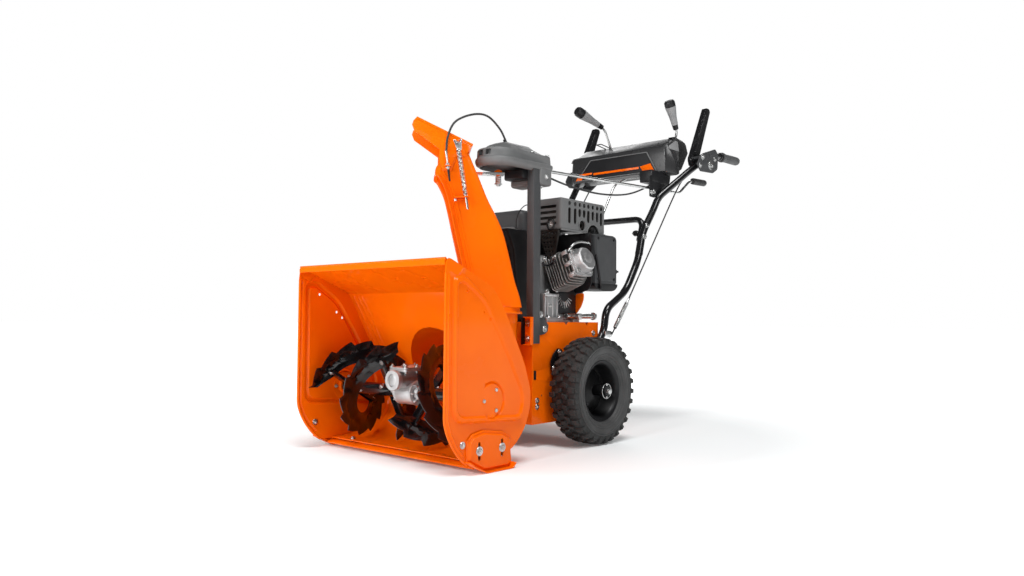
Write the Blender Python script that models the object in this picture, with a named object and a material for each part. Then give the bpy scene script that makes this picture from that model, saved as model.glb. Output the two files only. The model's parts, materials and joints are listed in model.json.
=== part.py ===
"""Two-stage snow blower: auger housing, impeller, turning chute, engine, friction drive, wheels and handlebars.

Metres, +Z up, the auger housing faces -Y, and +X is the operator's left hand side.
Lengths along Y are measured from the wheel axle. An empty then moves the whole machine so that
the middle of its footprint is at the world origin.
"""

import math

import bmesh
import bpy
from mathutils import Matrix, Vector

# ---------------------------------------------------------------- driving dimensions
MACHINE_NAME = "snow_blower"
FOOTPRINT_CENTRE_Y = 0.10604     # middle of the overall length, measured from the wheel axle
GAP = 0.0003                     # clearance between pieces that touch

CLEARING_WIDTH = 0.610           # 24 inch clearing width
PLATE = 0.003                    # sheet metal of the housing and the frame
PLATE_INNER_X = CLEARING_WIDTH / 2
PLATE_OUTER_X = PLATE_INNER_X + PLATE
HOUSING_FRONT_Y = -0.704
HOUSING_TOP_Z = 0.530

AUGER_Y = -0.538
AUGER_Z = 0.177
AUGER_RADIUS = 0.140             # 11 inch auger
AUGER_SHAFT_RADIUS = 0.0125
SHELL_RADIUS = 0.1525            # back of the housing, round the auger
FLIGHT_NEAR = 0.058              # inner end of each flight, from the middle of the machine
FLIGHT_FAR = 0.290
FLIGHT_TWIST = 2 * math.pi / 0.310   # one turn of the ribbon in 310 mm
FLIGHT_INNER = 0.088             # inner radius of the ribbon
FLIGHT_TEETH = 11

IMPELLER_Z = 0.213
IMPELLER_RADIUS = 0.138
DRUM_RADIUS = 0.148
DRUM_BACK_Y = -0.2118
WORM_SHAFT_RADIUS = 0.0095

WHEEL_RADIUS = 0.165             # 13 inch tyres
WHEEL_X = 0.2405
TYRE_WIDTH = 0.101
RIM_RADIUS = 0.0915
AXLE_RADIUS = 0.0095

FRAME_HALF_WIDTH = 0.170
FRAME_FRONT_Y = -0.2115
FRAME_REAR_Y = 0.127
FRAME_BOTTOM_Z = 0.070
FRAME_TOP_Z = 0.375
DECK_Z = 0.360                   # underside of the engine deck

CHUTE_X = 0.1075
CHUTE_Y = -0.300
CHUTE_HEADING = math.radians(41.2)   # from straight ahead towards -X
CHUTE_HALF_WIDTH = 0.060
COLLAR_RADIUS = 0.059
RING_RADIUS = 0.074
RING_Z = 0.3985
DEFLECTOR_S = 0.098
DEFLECTOR_Z = 0.868
CABLE_W = -CHUTE_HALF_WIDTH - 0.0120   # plane of the deflector's cable, outside the chute

CRANK_Z = 0.490
CYLINDER_TILT = math.radians(22.0)
AUGER_BELT_Y = -0.194
TRACTION_BELT_Y = -0.160
BELT_WIDTH = 0.011
AUGER_PULLEY_RADIUS = 0.088
TRACTION_PULLEY_RADIUS = 0.055
CRANK_PULLEY_RADIUS = 0.033
TRACTION_Z = 0.245
HEATER_BACK_Y = 0.229
HEX_SHAFT_Y = -0.052

TUBE_RADIUS = 0.0125
HANDLE_LOW_X = 0.1835
GRIP_X = 0.285
LEVER_X = 0.256
LEVER_PIVOT_Y = 0.600
LEVER_PIVOT_Z = 0.985

# ---------------------------------------------------------------- scene, materials and placing


def clear_scene():
    for obj in list(bpy.data.objects):
        bpy.data.objects.remove(obj, do_unlink=True)


def new_collection(name):
    collection = bpy.data.collections.new(name)
    bpy.context.scene.collection.children.link(collection)
    return collection


clear_scene()
PARTS = new_collection(MACHINE_NAME)

ROOT = bpy.data.objects.new("machine_root", None)
ROOT.location = (0.0, -FOOTPRINT_CENTRE_Y, 0.0)
PARTS.objects.link(ROOT)


def make_material(name, colour, roughness, metallic):
    material = bpy.data.materials.new(name)
    material.use_nodes = True
    shader = material.node_tree.nodes["Principled BSDF"]
    shader.inputs["Base Color"].default_value = (*colour, 1.0)
    shader.inputs["Roughness"].default_value = roughness
    shader.inputs["Metallic"].default_value = metallic
    return material


ORANGE = make_material("orange_paint", (0.95, 0.18, 0.01), 0.30, 0.0)
BLACK = make_material("black_paint", (0.012, 0.012, 0.013), 0.30, 0.0)
PLASTIC = make_material("charcoal_plastic", (0.045, 0.046, 0.048), 0.48, 0.0)
STEEL = make_material("zinc_steel", (0.62, 0.63, 0.65), 0.30, 1.0)
CAST = make_material("cast_aluminium", (0.56, 0.56, 0.57), 0.42, 1.0)
RUBBER = make_material("tyre_rubber", (0.016, 0.016, 0.016), 0.78, 0.0)
GRIP = make_material("grip_rubber", (0.022, 0.022, 0.023), 0.70, 0.0)


def finish(solid, name, material, pivot=(0.0, 0.0, 0.0)):
    """Names a solid, moves its origin to its pivot and hangs it on the root."""
    solid.data.transform(Matrix.Translation(-Vector(pivot)))
    solid.name = name
    solid.data.name = name
    solid.data.materials.clear()
    solid.data.materials.append(material)
    solid.data.shade_smooth()
    solid.data.set_sharp_from_angle(angle=math.radians(30))
    solid.location = pivot
    solid.parent = ROOT
    return solid


# ---------------------------------------------------------------- shapes


def from_bmesh(mesh_builder):
    """A new object from a bmesh, with its faces pointing out."""
    bmesh.ops.recalc_face_normals(mesh_builder, faces=mesh_builder.faces)
    mesh = bpy.data.meshes.new("solid")
    mesh_builder.to_mesh(mesh)
    mesh_builder.free()
    obj = bpy.data.objects.new("solid", mesh)
    PARTS.objects.link(obj)
    return obj


def mesh_of(source):
    """Replaces an object by the closed mesh that it evaluates to."""
    bpy.context.view_layer.update()
    graph = bpy.context.evaluated_depsgraph_get()
    mesh = bpy.data.meshes.new_from_object(source.evaluated_get(graph))
    mesh.transform(source.matrix_world)
    builder = bmesh.new()
    builder.from_mesh(mesh)
    bpy.data.meshes.remove(mesh)
    bpy.data.objects.remove(source, do_unlink=True)
    bmesh.ops.remove_doubles(builder, verts=builder.verts, dist=1e-6)
    return from_bmesh(builder)


def moved(solid, matrix):
    solid.data.transform(matrix)
    return solid


def box(low, high, bevel=0.0, segments=1):
    """A box between two corners, with its edges rounded by bevel."""
    low = Vector(low)
    high = Vector(high)
    builder = bmesh.new()
    size = high - low
    place = Matrix.Translation((low + high) / 2) @ Matrix.Diagonal((*size, 1.0))
    bmesh.ops.create_cube(builder, size=1.0, matrix=place)
    if bevel:
        bmesh.ops.bevel(builder, geom=builder.edges, offset=bevel, segments=segments, profile=0.5, affect="EDGES")
    return from_bmesh(builder)


def cylinder(start, end, radius, sides=24, end_radius=None):
    """A cylinder or cone between two points."""
    start = Vector(start)
    end = Vector(end)
    along = end - start
    turn = Vector((0, 0, 1)).rotation_difference(along).to_matrix().to_4x4()
    place = Matrix.Translation((start + end) / 2) @ turn
    builder = bmesh.new()
    bmesh.ops.create_cone(
        builder,
        cap_ends=True,
        segments=sides,
        radius1=radius,
        radius2=radius if end_radius is None else end_radius,
        depth=along.length,
        matrix=place,
    )
    return from_bmesh(builder)


PLANE_YZ = Matrix(((0, 0, 1, 0), (1, 0, 0, 0), (0, 1, 0, 0), (0, 0, 0, 1)))
PLANE_XZ = Matrix(((1, 0, 0, 0), (0, 0, -1, 0), (0, 1, 0, 0), (0, 0, 0, 1)))
PLANE_XY = Matrix.Identity(4)


def plate(loops, low, high, plane):
    """An outline, with any holes as further loops, extruded from low to high along the plane's normal."""
    curve = bpy.data.curves.new("outline", "CURVE")
    curve.dimensions = "2D"
    curve.fill_mode = "BOTH"
    curve.extrude = (high - low) / 2
    for loop in loops:
        spline = curve.splines.new("POLY")
        spline.points.add(len(loop) - 1)
        for point, (u, v) in zip(spline.points, loop):
            point.co = (u, v, 0.0, 1.0)
        spline.use_cyclic_u = True
    obj = bpy.data.objects.new("outline", curve)
    obj.matrix_world = plane @ Matrix.Translation((0, 0, (low + high) / 2))
    PARTS.objects.link(obj)
    return mesh_of(obj)


def plate_x(loops, low, high):
    return plate(loops, low, high, PLANE_YZ)


def plate_y(loops, low, high):
    """An outline in X and Z, from low to high along Y."""
    return plate(loops, -high, -low, PLANE_XZ)


def plate_z(loops, low, high):
    return plate(loops, low, high, PLANE_XY)


def circle(u, v, radius, sides=24, start=0.0):
    """The points of a circle, as a loop for plate."""
    loop = []
    for i in range(sides):
        angle = start + 2 * math.pi * i / sides
        loop.append((u + radius * math.cos(angle), v + radius * math.sin(angle)))
    return loop


def rectangle(u0, v0, u1, v1):
    return [(u0, v0), (u1, v0), (u1, v1), (u0, v1)]


def arc(u, v, radius, first, last, steps):
    """Points on an arc, angles in degrees, both ends included."""
    points = []
    for i in range(steps + 1):
        angle = math.radians(first + (last - first) * i / steps)
        points.append((u + radius * math.cos(angle), v + radius * math.sin(angle)))
    return points


def slot(u, v, length, width, steps=4):
    """An upright slot with round ends."""
    reach = (length - width) / 2
    top = arc(u, v + reach, width / 2, 0, 180, steps)
    bottom = arc(u, v - reach, width / 2, 180, 360, steps)
    return top + bottom


def rounded(points, radius, steps=3):
    """A 3-D path with its inner corners rounded."""
    points = [Vector(p) for p in points]
    path = [points[0]]
    for before, corner, after in zip(points, points[1:], points[2:]):
        back = before - corner
        ahead = after - corner
        reach = min(radius, back.length * 0.45, ahead.length * 0.45)
        first = corner + back.normalized() * reach
        last = corner + ahead.normalized() * reach
        for i in range(steps + 1):
            t = i / steps
            path.append((1 - t) ** 2 * first + 2 * t * (1 - t) * corner + t ** 2 * last)
    path.append(points[-1])
    return path


def smooth_route(points, steps):
    """Points on a smooth curve through the given ones."""
    points = [Vector(p) for p in points]
    ends = [2 * points[0] - points[1]] + points + [2 * points[-1] - points[-2]]
    route = []
    for p0, p1, p2, p3 in zip(ends, ends[1:], ends[2:], ends[3:]):
        for i in range(steps):
            t = i / steps
            route.append(
                0.5 * (2 * p1 + (p2 - p0) * t + (2 * p0 - 5 * p1 + 4 * p2 - p3) * t ** 2
                       + (3 * p1 - p0 - 3 * p2 + p3) * t ** 3)
            )
    route.append(points[-1])
    return route


def tube(path, radius, resolution=3, closed=False):
    """A round bar along a path."""
    curve = bpy.data.curves.new("bar", "CURVE")
    curve.dimensions = "3D"
    curve.bevel_depth = radius
    curve.bevel_resolution = resolution
    curve.use_fill_caps = not closed
    spline = curve.splines.new("POLY")
    spline.points.add(len(path) - 1)
    for point, place in zip(spline.points, path):
        point.co = (*place, 1.0)
    spline.use_cyclic_u = closed
    obj = bpy.data.objects.new("bar", curve)
    PARTS.objects.link(obj)
    return mesh_of(obj)


def turned(profile, centre, axis, sides=32, closed=True):
    """A profile of (radius, distance along the axis) turned about an axis through centre."""
    builder = bmesh.new()
    verts = [builder.verts.new((r, 0.0, h)) for r, h in profile]
    count = len(verts)
    edges = [builder.edges.new((verts[i], verts[i + 1])) for i in range(count - 1)]
    if closed:
        edges.append(builder.edges.new((verts[-1], verts[0])))
    bmesh.ops.spin(
        builder,
        geom=verts + edges,
        cent=(0, 0, 0),
        axis=(0, 0, 1),
        angle=2 * math.pi,
        steps=sides,
        use_merge=True,
    )
    bmesh.ops.remove_doubles(builder, verts=builder.verts, dist=1e-6)
    solid = from_bmesh(builder)
    turn = Vector((0, 0, 1)).rotation_difference(Vector(axis)).to_matrix().to_4x4()
    return moved(solid, Matrix.Translation(centre) @ turn)


def combined(base, others, operation):
    """Base joined to, or cut by, each of the other solids, which are used up."""
    for other in others:
        step = base.modifiers.new("boolean", "BOOLEAN")
        step.operation = operation
        step.object = other
        base = mesh_of(base)
        bpy.data.objects.remove(other, do_unlink=True)
    return base


def union(base, *others):
    return combined(base, others, "UNION")


def cut(base, *others):
    return combined(base, others, "DIFFERENCE")


def mirrored(solid):
    """A copy of a solid on the other side of the machine."""
    mesh = solid.data.copy()
    mesh.transform(Matrix.Scale(-1, 4, (1, 0, 0)))
    mesh.flip_normals()
    copy = bpy.data.objects.new("copy", mesh)
    PARTS.objects.link(copy)
    return copy


def both_sides(solid, name, material, pivot=(0.0, 0.0, 0.0)):
    """The left solid and its mirror image, as name_left and name_right."""
    other = mirrored(solid)
    finish(solid, name + "_left", material, pivot)
    finish(other, name + "_right", material, (-pivot[0], pivot[1], pivot[2]))


# ---------------------------------------------------------------- auger housing


def housing_back(radius, inset):
    """The back of the housing in Y and Z, from the top lip down to the scraper, moved in by inset."""
    back = [(HOUSING_FRONT_Y + 0.004, HOUSING_TOP_Z - inset), (-0.528, 0.4605 - inset)]
    back += [(-0.4935 - inset, 0.4075), (-0.4455 - inset, 0.3225)]
    back += arc(AUGER_Y, AUGER_Z, radius, 30, -90, 12)
    back += [(-0.580, AUGER_Z - radius - 0.0015)]
    return back


def housing_interior(extra):
    """A solid that fills the inside of the housing."""
    inner = housing_back(SHELL_RADIUS - PLATE, PLATE)
    front = [(-0.95, inner[-1][1]), (-0.95, inner[0][1])]
    return plate_x([inner + front], -0.33 - extra, 0.33 + extra)


def make_auger_housing():
    outer = housing_back(SHELL_RADIUS, 0.0)
    inner = housing_back(SHELL_RADIUS - PLATE, PLATE)
    half = PLATE_INNER_X - GAP
    lip = [(HOUSING_FRONT_Y + 0.004, 0.513), (HOUSING_FRONT_Y + 0.001, 0.513), (HOUSING_FRONT_Y + 0.001, 0.528)]
    shell = plate_x([outer + inner[::-1] + lip], -half, half)
    mouth = cylinder((0, -0.60, IMPELLER_Z), (0, -0.30, IMPELLER_Z), DRUM_RADIUS + GAP, 32)
    finish(cut(shell, mouth), "auger_housing", ORANGE)


def make_side_plates():
    outline = [(-0.698, 0.5345), (HOUSING_FRONT_Y, 0.4925), (-0.7025, 0.134)]
    outline += [(-0.692, 0.103), (-0.673, 0.071), (-0.651, 0.045), (-0.623, 0.024)]
    outline += [(-0.545, 0.0215), (-0.458, 0.0455), (-0.427, 0.0695), (-0.400, 0.105), (-0.3865, 0.143)]
    outline += [(-0.383, 0.168), (-0.383, 0.194), (-0.4065, 0.2605), (-0.4415, 0.325), (-0.490, 0.409)]
    outline += [(-0.5305, 0.4635)]
    holes = [circle(y, z, 0.0042, 8) for y, z in ((-0.630, 0.452), (-0.568, 0.400), (-0.547, 0.383))]
    both_sides(plate_x([outline] + holes, PLATE_INNER_X, PLATE_OUTER_X), "side_plate", ORANGE)


def make_impeller_housing():
    collar_low = 0.235
    drum = cylinder((0, -0.52, IMPELLER_Z), (0, DRUM_BACK_Y, IMPELLER_Z), DRUM_RADIUS, 32)
    collar = cylinder((CHUTE_X, CHUTE_Y, collar_low), (CHUTE_X, CHUTE_Y, RING_Z - GAP), COLLAR_RADIUS, 24)
    bore = cylinder((0, -0.54, IMPELLER_Z), (0, DRUM_BACK_Y - PLATE, IMPELLER_Z), DRUM_RADIUS - PLATE, 32)
    duct = cylinder((CHUTE_X, CHUTE_Y, collar_low + PLATE), (CHUTE_X, CHUTE_Y, 0.43), COLLAR_RADIUS - PLATE, 24)
    shaft = cylinder((0, -0.30, IMPELLER_Z), (0, -0.20, IMPELLER_Z), WORM_SHAFT_RADIUS + GAP, 16)
    drum = cut(union(drum, collar), bore, duct, shaft)
    finish(cut(drum, housing_interior(0.0)), "impeller_housing", ORANGE)


def make_scraper():
    profile = [(-0.597, 0.0095), (-0.597, 0.0140), (-0.583, 0.0195), (-0.545, 0.0225), (-0.545, 0.0185)]
    profile += [(-0.583, 0.0155)]
    half = PLATE_INNER_X - GAP
    finish(plate_x([profile], -half, half), "scraper_blade", ORANGE)


def make_skid_shoes():
    outline = [(-0.629, 0.082), (-0.5755, 0.102), (-0.507, 0.091), (-0.464, 0.074), (-0.466, 0.039)]
    outline += [(-0.461, 0.013), (-0.472, 0.0012), (-0.571, 0.0012), (-0.611, 0.0205), (-0.631, 0.033)]
    slots = [slot(y, 0.0535, 0.040, 0.0095, 3) for y in (-0.589, -0.505)]
    web = plate_x([outline] + slots, PLATE_OUTER_X + GAP, PLATE_OUTER_X + 0.0045)
    sole = [(-0.6315, 0.0345), (-0.6115, 0.0225), (-0.5705, 0.0030), (-0.4735, 0.0030), (-0.4635, 0.0135)]
    sole += [(-0.4595, 0.012), (-0.4715, 0.0), (-0.5715, 0.0), (-0.6115, 0.0190), (-0.6325, 0.0315)]
    turned_edge = plate_x([sole], PLATE_OUTER_X + 0.001, PLATE_OUTER_X + 0.021)
    both_sides(union(web, turned_edge), "skid_shoe", ORANGE)


# ---------------------------------------------------------------- auger and its gear case


def flight_angle(x, phase):
    """Where a flight stands at a distance x from the middle of the machine."""
    return phase + (x - FLIGHT_NEAR) * FLIGHT_TWIST


def ribbon(phase):
    """A helical ribbon with a saw-toothed rim, from the middle of the housing to its side."""
    half = 0.0024
    points_per_tooth = 3
    steps = FLIGHT_TEETH * points_per_tooth
    builder = bmesh.new()
    rows = []
    for i in range(steps + 1):
        x = FLIGHT_NEAR + (FLIGHT_FAR - FLIGHT_NEAR) * i / steps
        angle = flight_angle(x, phase)
        tooth = (i % points_per_tooth) / (points_per_tooth - 1)
        rim = AUGER_RADIUS - 0.013 * tooth
        row = []
        for radius, side in ((FLIGHT_INNER, -half), (rim, -half), (rim, half), (FLIGHT_INNER, half)):
            place = (x + side, AUGER_Y + radius * math.cos(angle), AUGER_Z + radius * math.sin(angle))
            row.append(builder.verts.new(place))
        rows.append(row)
    for one, two in zip(rows, rows[1:]):
        for k in range(4):
            builder.faces.new((one[k], one[(k + 1) % 4], two[(k + 1) % 4], two[k]))
    builder.faces.new(rows[0])
    builder.faces.new(rows[-1])
    return from_bmesh(builder)


def cross_arm(x, angle):
    """A flat bar through the sleeve that carries both ribbons."""
    reach = FLIGHT_INNER + 0.012
    bar = box((x - 0.012, -0.0035, -reach), (x + 0.012, 0.0035, reach))
    turn = Matrix.Rotation(angle - math.pi / 2, 4, "X")
    return moved(bar, Matrix.Translation((0, AUGER_Y, AUGER_Z)) @ turn)


def make_auger_flight(name, phase, side):
    """A sleeve on the shaft with two ribbons, half a turn apart, and the two bars that carry them."""
    near = FLIGHT_NEAR + 0.004
    bore = AUGER_SHAFT_RADIUS + GAP
    sleeve = turned([(bore, near), (0.0175, near), (0.0175, FLIGHT_FAR), (bore, FLIGHT_FAR)],
                    (0, AUGER_Y, AUGER_Z), (1, 0, 0), 18)
    solid = union(sleeve, ribbon(phase), ribbon(phase + math.pi))
    hole = cylinder((0, AUGER_Y, AUGER_Z), (0.4, AUGER_Y, AUGER_Z), bore, 18)
    for x in (FLIGHT_NEAR + 0.022, FLIGHT_FAR - 0.026):
        solid = union(solid, cross_arm(x, flight_angle(x, phase)))
    solid = cut(solid, hole)
    if side < 0:
        original = solid
        solid = mirrored(original)
        bpy.data.objects.remove(original, do_unlink=True)
    finish(solid, name, BLACK, (0, AUGER_Y, AUGER_Z))


def gear_outline(u, v, teeth, tip, root, start=0.0):
    """The outline of a spur gear with straight-sided teeth."""
    loop = []
    for i in range(teeth):
        for share, radius in ((-0.30, root), (-0.13, tip), (0.13, tip), (0.30, root)):
            angle = start + 2 * math.pi * (i + share) / teeth
            loop.append((u + radius * math.cos(angle), v + radius * math.sin(angle)))
    return loop


def make_auger_shaft():
    end = PLATE_INNER_X - 0.0010
    shaft = cylinder((-end, AUGER_Y, AUGER_Z), (end, AUGER_Y, AUGER_Z), AUGER_SHAFT_RADIUS, 18)
    gear = plate_x([gear_outline(AUGER_Y, AUGER_Z, 20, 0.0245, 0.0215)], -0.011, 0.011)
    finish(union(shaft, gear), "auger_shaft", STEEL, (0, AUGER_Y, AUGER_Z))


def make_impeller_shaft():
    """The shaft, with the two-start worm that drives the auger gear at its front end."""
    shaft = cylinder((0, -0.585, IMPELLER_Z), (0, -0.180, IMPELLER_Z), WORM_SHAFT_RADIUS, 16)
    thread = bmesh.new()
    rows = []
    steps = 12
    sides = 8
    for i in range(steps + 1):
        y = -0.558 + 0.040 * i / steps
        row = []
        for k in range(sides):
            angle = 2 * math.pi * k / sides
            radius = 0.0106 + 0.0005 * math.cos(2 * angle)
            turn = angle + math.radians(30) * i
            place = (radius * math.cos(turn), y, IMPELLER_Z + radius * math.sin(turn))
            row.append(thread.verts.new(place))
        rows.append(row)
    for one, two in zip(rows, rows[1:]):
        for k in range(sides):
            thread.faces.new((one[k], one[(k + 1) % sides], two[(k + 1) % sides], two[k]))
    thread.faces.new(rows[0])
    thread.faces.new(rows[-1])
    finish(union(shaft, from_bmesh(thread)), "impeller_shaft", STEEL, (0, 0, IMPELLER_Z))


def make_gear_case():
    """A split case round the auger gear, with a tunnel above it for the worm."""
    body = cylinder((-0.030, AUGER_Y, AUGER_Z), (0.030, AUGER_Y, AUGER_Z), 0.034, 20)
    hubs = cylinder((-0.052, AUGER_Y, AUGER_Z), (0.052, AUGER_Y, AUGER_Z), 0.021, 18)
    tunnel = cylinder((0, -0.592, IMPELLER_Z), (0, -0.470, IMPELLER_Z), 0.0225, 18)
    nose = cylinder((0, -0.600, IMPELLER_Z), (0, -0.590, IMPELLER_Z), 0.0265, 18)
    flange = box((-0.034, -0.586, 0.2375), (0.034, -0.492, 0.2445), 0.002)
    waist = box((-0.020, -0.575, 0.195), (0.020, -0.500, 0.240))
    solid = union(body, hubs, tunnel, nose, waist, flange)
    gear_room = cylinder((-0.0145, AUGER_Y, AUGER_Z), (0.0145, AUGER_Y, AUGER_Z), 0.0265, 18)
    axle_hole = cylinder((-0.06, AUGER_Y, AUGER_Z), (0.06, AUGER_Y, AUGER_Z), AUGER_SHAFT_RADIUS + GAP, 18)
    worm_room = cylinder((0, -0.563, IMPELLER_Z), (0, -0.513, IMPELLER_Z), 0.0135, 16)
    shaft_hole = cylinder((0, -0.589, IMPELLER_Z), (0, -0.44, IMPELLER_Z), WORM_SHAFT_RADIUS + GAP, 16)
    finish(cut(solid, axle_hole, shaft_hole, gear_room, worm_room), "gear_case", CAST)


def make_impeller():
    """Three curved-back blades on a hub, with a stiffening disc behind them."""
    hub = cylinder((0, -0.385, IMPELLER_Z), (0, -0.240, IMPELLER_Z), 0.021, 18)
    solid = union(hub, cylinder((0, -0.247, IMPELLER_Z), (0, -0.242, IMPELLER_Z), 0.085, 24))
    for i in range(3):
        blade = plate_z([[(0.016, -0.243), (0.132, -0.243), (0.138, -0.262), (0.138, -0.318), (0.118, -0.350),
                          (0.016, -0.382)]], -0.003, 0.003)
        turn = Matrix.Rotation(math.radians(15 + 120 * i), 4, "Y")
        solid = union(solid, moved(blade, Matrix.Translation((0, 0, IMPELLER_Z)) @ turn))
    bore = cylinder((0, -0.42, IMPELLER_Z), (0, -0.20, IMPELLER_Z), WORM_SHAFT_RADIUS + GAP, 16)
    finish(cut(solid, bore), "impeller", ORANGE, (0, 0, IMPELLER_Z))


def pulley_profile(radius, bore, y):
    """A V-belt pulley: a groove between two flanges, centred on y."""
    half = 0.009
    floor = radius - 0.004
    return [(bore, y - half), (radius + 0.004, y - half), (floor, y - 0.0025), (floor, y + 0.0025),
            (radius + 0.004, y + half), (bore, y + half)]


def make_auger_pulley():
    profile = pulley_profile(AUGER_PULLEY_RADIUS, WORM_SHAFT_RADIUS + GAP, AUGER_BELT_Y)
    finish(turned(profile, (0, 0, IMPELLER_Z), (0, 1, 0), 28), "auger_pulley", STEEL, (0, 0, IMPELLER_Z))


def belt_loop(low_z, low_radius, high_z, high_radius, slack):
    """The path of a belt round two pulleys that stand one above the other."""
    lift = math.degrees(math.asin((low_radius - high_radius) / (high_z - low_z)))
    lower = arc(0, low_z, low_radius, 180 - lift, 360 + lift, 14)
    upper = arc(0, high_z, high_radius, lift, 180 - lift, 8)
    return [(x, z + slack) for x, z in lower] + [(x, z + slack) for x, z in upper]


def make_belt(name, y, low_z, low_radius):
    """A V-belt with a little clearance to its pulleys, as it has while its clutch is open."""
    half = 0.0026
    inner = belt_loop(low_z, low_radius - 0.0030, CRANK_Z, CRANK_PULLEY_RADIUS - 0.0030, 0.0)
    outer = belt_loop(low_z, low_radius + 0.0035, CRANK_Z, CRANK_PULLEY_RADIUS + 0.0035, 0.0)
    finish(plate_y([outer, inner], y - half + 0.0004, y + half - 0.0004), name, RUBBER)


# ---------------------------------------------------------------- frame and drive


def make_frame():
    """A folded box, open below and in front of the belts, with the engine deck inside its top edge."""
    solid = box((-FRAME_HALF_WIDTH, FRAME_FRONT_Y, FRAME_BOTTOM_Z), (FRAME_HALF_WIDTH, FRAME_REAR_Y, FRAME_TOP_Z))
    inside = FRAME_HALF_WIDTH - PLATE
    under = box((-inside, FRAME_FRONT_Y + PLATE, 0.02), (inside, FRAME_REAR_Y - PLATE, DECK_Z))
    tray = box((-inside, FRAME_FRONT_Y + PLATE, DECK_Z + PLATE), (inside, FRAME_REAR_Y - PLATE, 0.42))
    belts = box((-0.104, FRAME_FRONT_Y + PLATE, 0.30), (0.104, -0.125, 0.41))
    axle = cylinder((-0.2, 0, WHEEL_RADIUS), (0.2, 0, WHEEL_RADIUS), AXLE_RADIUS + GAP, 14)
    hex_hole = cylinder((-0.2, HEX_SHAFT_Y, TRACTION_Z), (0.2, HEX_SHAFT_Y, TRACTION_Z), 0.0085 + GAP, 14)
    front = cylinder((0, -0.24, IMPELLER_Z), (0, -0.19, IMPELLER_Z), WORM_SHAFT_RADIUS + GAP, 16)
    side_slot = box((-0.2, -0.204, 0.205), (0.2, -0.194, 0.227))
    notches = []
    for y in (-0.045, 0.065):
        notch = plate_x([[(y - 0.010, 0.40), (y - 0.010, 0.3745), (y, 0.3645), (y + 0.010, 0.3745), (y + 0.010, 0.40)]],
                        -0.2, 0.2)
        notches.append(notch)
    finish(cut(solid, under, tray, belts, axle, hex_hole, front, side_slot, *notches), "tractor_frame", ORANGE)


def make_drive_axle():
    """The axle, with the large reduction gear on it."""
    axle = cylinder((-0.305, 0, WHEEL_RADIUS), (0.305, 0, WHEEL_RADIUS), AXLE_RADIUS, 14)
    gear = plate_x([gear_outline(0, WHEEL_RADIUS, 32, 0.0745, 0.0700)], -0.150, -0.138)
    finish(union(axle, gear), "drive_axle", STEEL, (0, 0, WHEEL_RADIUS))


def make_hex_shaft():
    """The hexagonal shaft that the friction wheel slides along, with the small reduction gear."""
    across = 0.0092
    shaft = cylinder((-0.166, HEX_SHAFT_Y, TRACTION_Z), (0.166, HEX_SHAFT_Y, TRACTION_Z), across, 6)
    journals = cylinder((-0.174, HEX_SHAFT_Y, TRACTION_Z), (0.174, HEX_SHAFT_Y, TRACTION_Z), 0.0075, 16)
    pinion = plate_x([gear_outline(HEX_SHAFT_Y, TRACTION_Z, 8, 0.0200, 0.0160)], -0.149, -0.139)
    pivot = (0, HEX_SHAFT_Y, TRACTION_Z)
    finish(union(shaft, journals, pinion), "hex_shaft", STEEL, pivot)


def make_friction_drive():
    disc_profile = [(0.0, -0.1695), (TRACTION_PULLEY_RADIUS + 0.004, -0.1695),
                    (TRACTION_PULLEY_RADIUS - 0.004, TRACTION_BELT_Y - 0.0025),
                    (TRACTION_PULLEY_RADIUS - 0.004, TRACTION_BELT_Y + 0.0025),
                    (TRACTION_PULLEY_RADIUS + 0.004, -0.1505), (0.020, -0.1505),
                    (0.020, -0.1245), (0.082, -0.1245), (0.082, -0.1195), (0.0, -0.1195)]
    disc = turned(disc_profile, (0, 0, TRACTION_Z), (0, 1, 0), 28, closed=False)
    finish(disc, "friction_disc", STEEL, (0, 0, TRACTION_Z))
    wheel_profile = [(0.0098, 0.046), (0.026, 0.046), (0.026, 0.056), (0.0665, 0.056), (0.0665, 0.068),
                     (0.0098, 0.068)]
    wheel = turned(wheel_profile, (0, HEX_SHAFT_Y, TRACTION_Z), (1, 0, 0), 24)
    finish(wheel, "friction_wheel", RUBBER, (0, HEX_SHAFT_Y, TRACTION_Z))


def make_wheels():
    """Each wheel is a pneumatic tyre on a deep-dished steel rim with a hub tube on the axle."""
    half = TYRE_WIDTH / 2
    tyre_profile = [(RIM_RADIUS + 0.001, -half * 0.62), (0.120, -half), (0.148, -half), (0.1625, -half * 0.75),
                    (WHEEL_RADIUS, 0.0), (0.1625, half * 0.75), (0.148, half), (0.120, half),
                    (RIM_RADIUS + 0.001, half * 0.62)]
    tyre = turned(tyre_profile, (WHEEL_X, 0, WHEEL_RADIUS), (1, 0, 0), 36)
    both_sides(tyre, "tyre", RUBBER, (WHEEL_X, 0, WHEEL_RADIUS))
    bore = AXLE_RADIUS + GAP
    rim_profile = [(bore, -0.042), (0.0165, -0.042), (0.0165, -0.006), (0.050, -0.012), (0.074, -0.033),
                   (RIM_RADIUS, -0.033), (RIM_RADIUS, 0.033), (0.085, 0.033), (0.079, 0.025),
                   (0.073, -0.016), (0.050, -0.004), (0.0185, 0.006), (0.0165, 0.058), (bore, 0.058)]
    rim = turned(rim_profile, (WHEEL_X, 0, WHEEL_RADIUS), (1, 0, 0), 24)
    both_sides(rim, "rim", BLACK, (WHEEL_X, 0, WHEEL_RADIUS))


# ---------------------------------------------------------------- chute, deflector and turning gear

CHUTE_FRAME = Matrix((
    (-math.sin(CHUTE_HEADING), 0, -math.cos(CHUTE_HEADING), CHUTE_X),
    (-math.cos(CHUTE_HEADING), 0, math.sin(CHUTE_HEADING), CHUTE_Y),
    (0, 1, 0, 0),
    (0, 0, 0, 1),
))
"""Maps (distance along the discharge direction, height, distance across) to the machine."""


def chute_point(s, z, w):
    return CHUTE_FRAME @ Vector((s, z, w))


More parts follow.
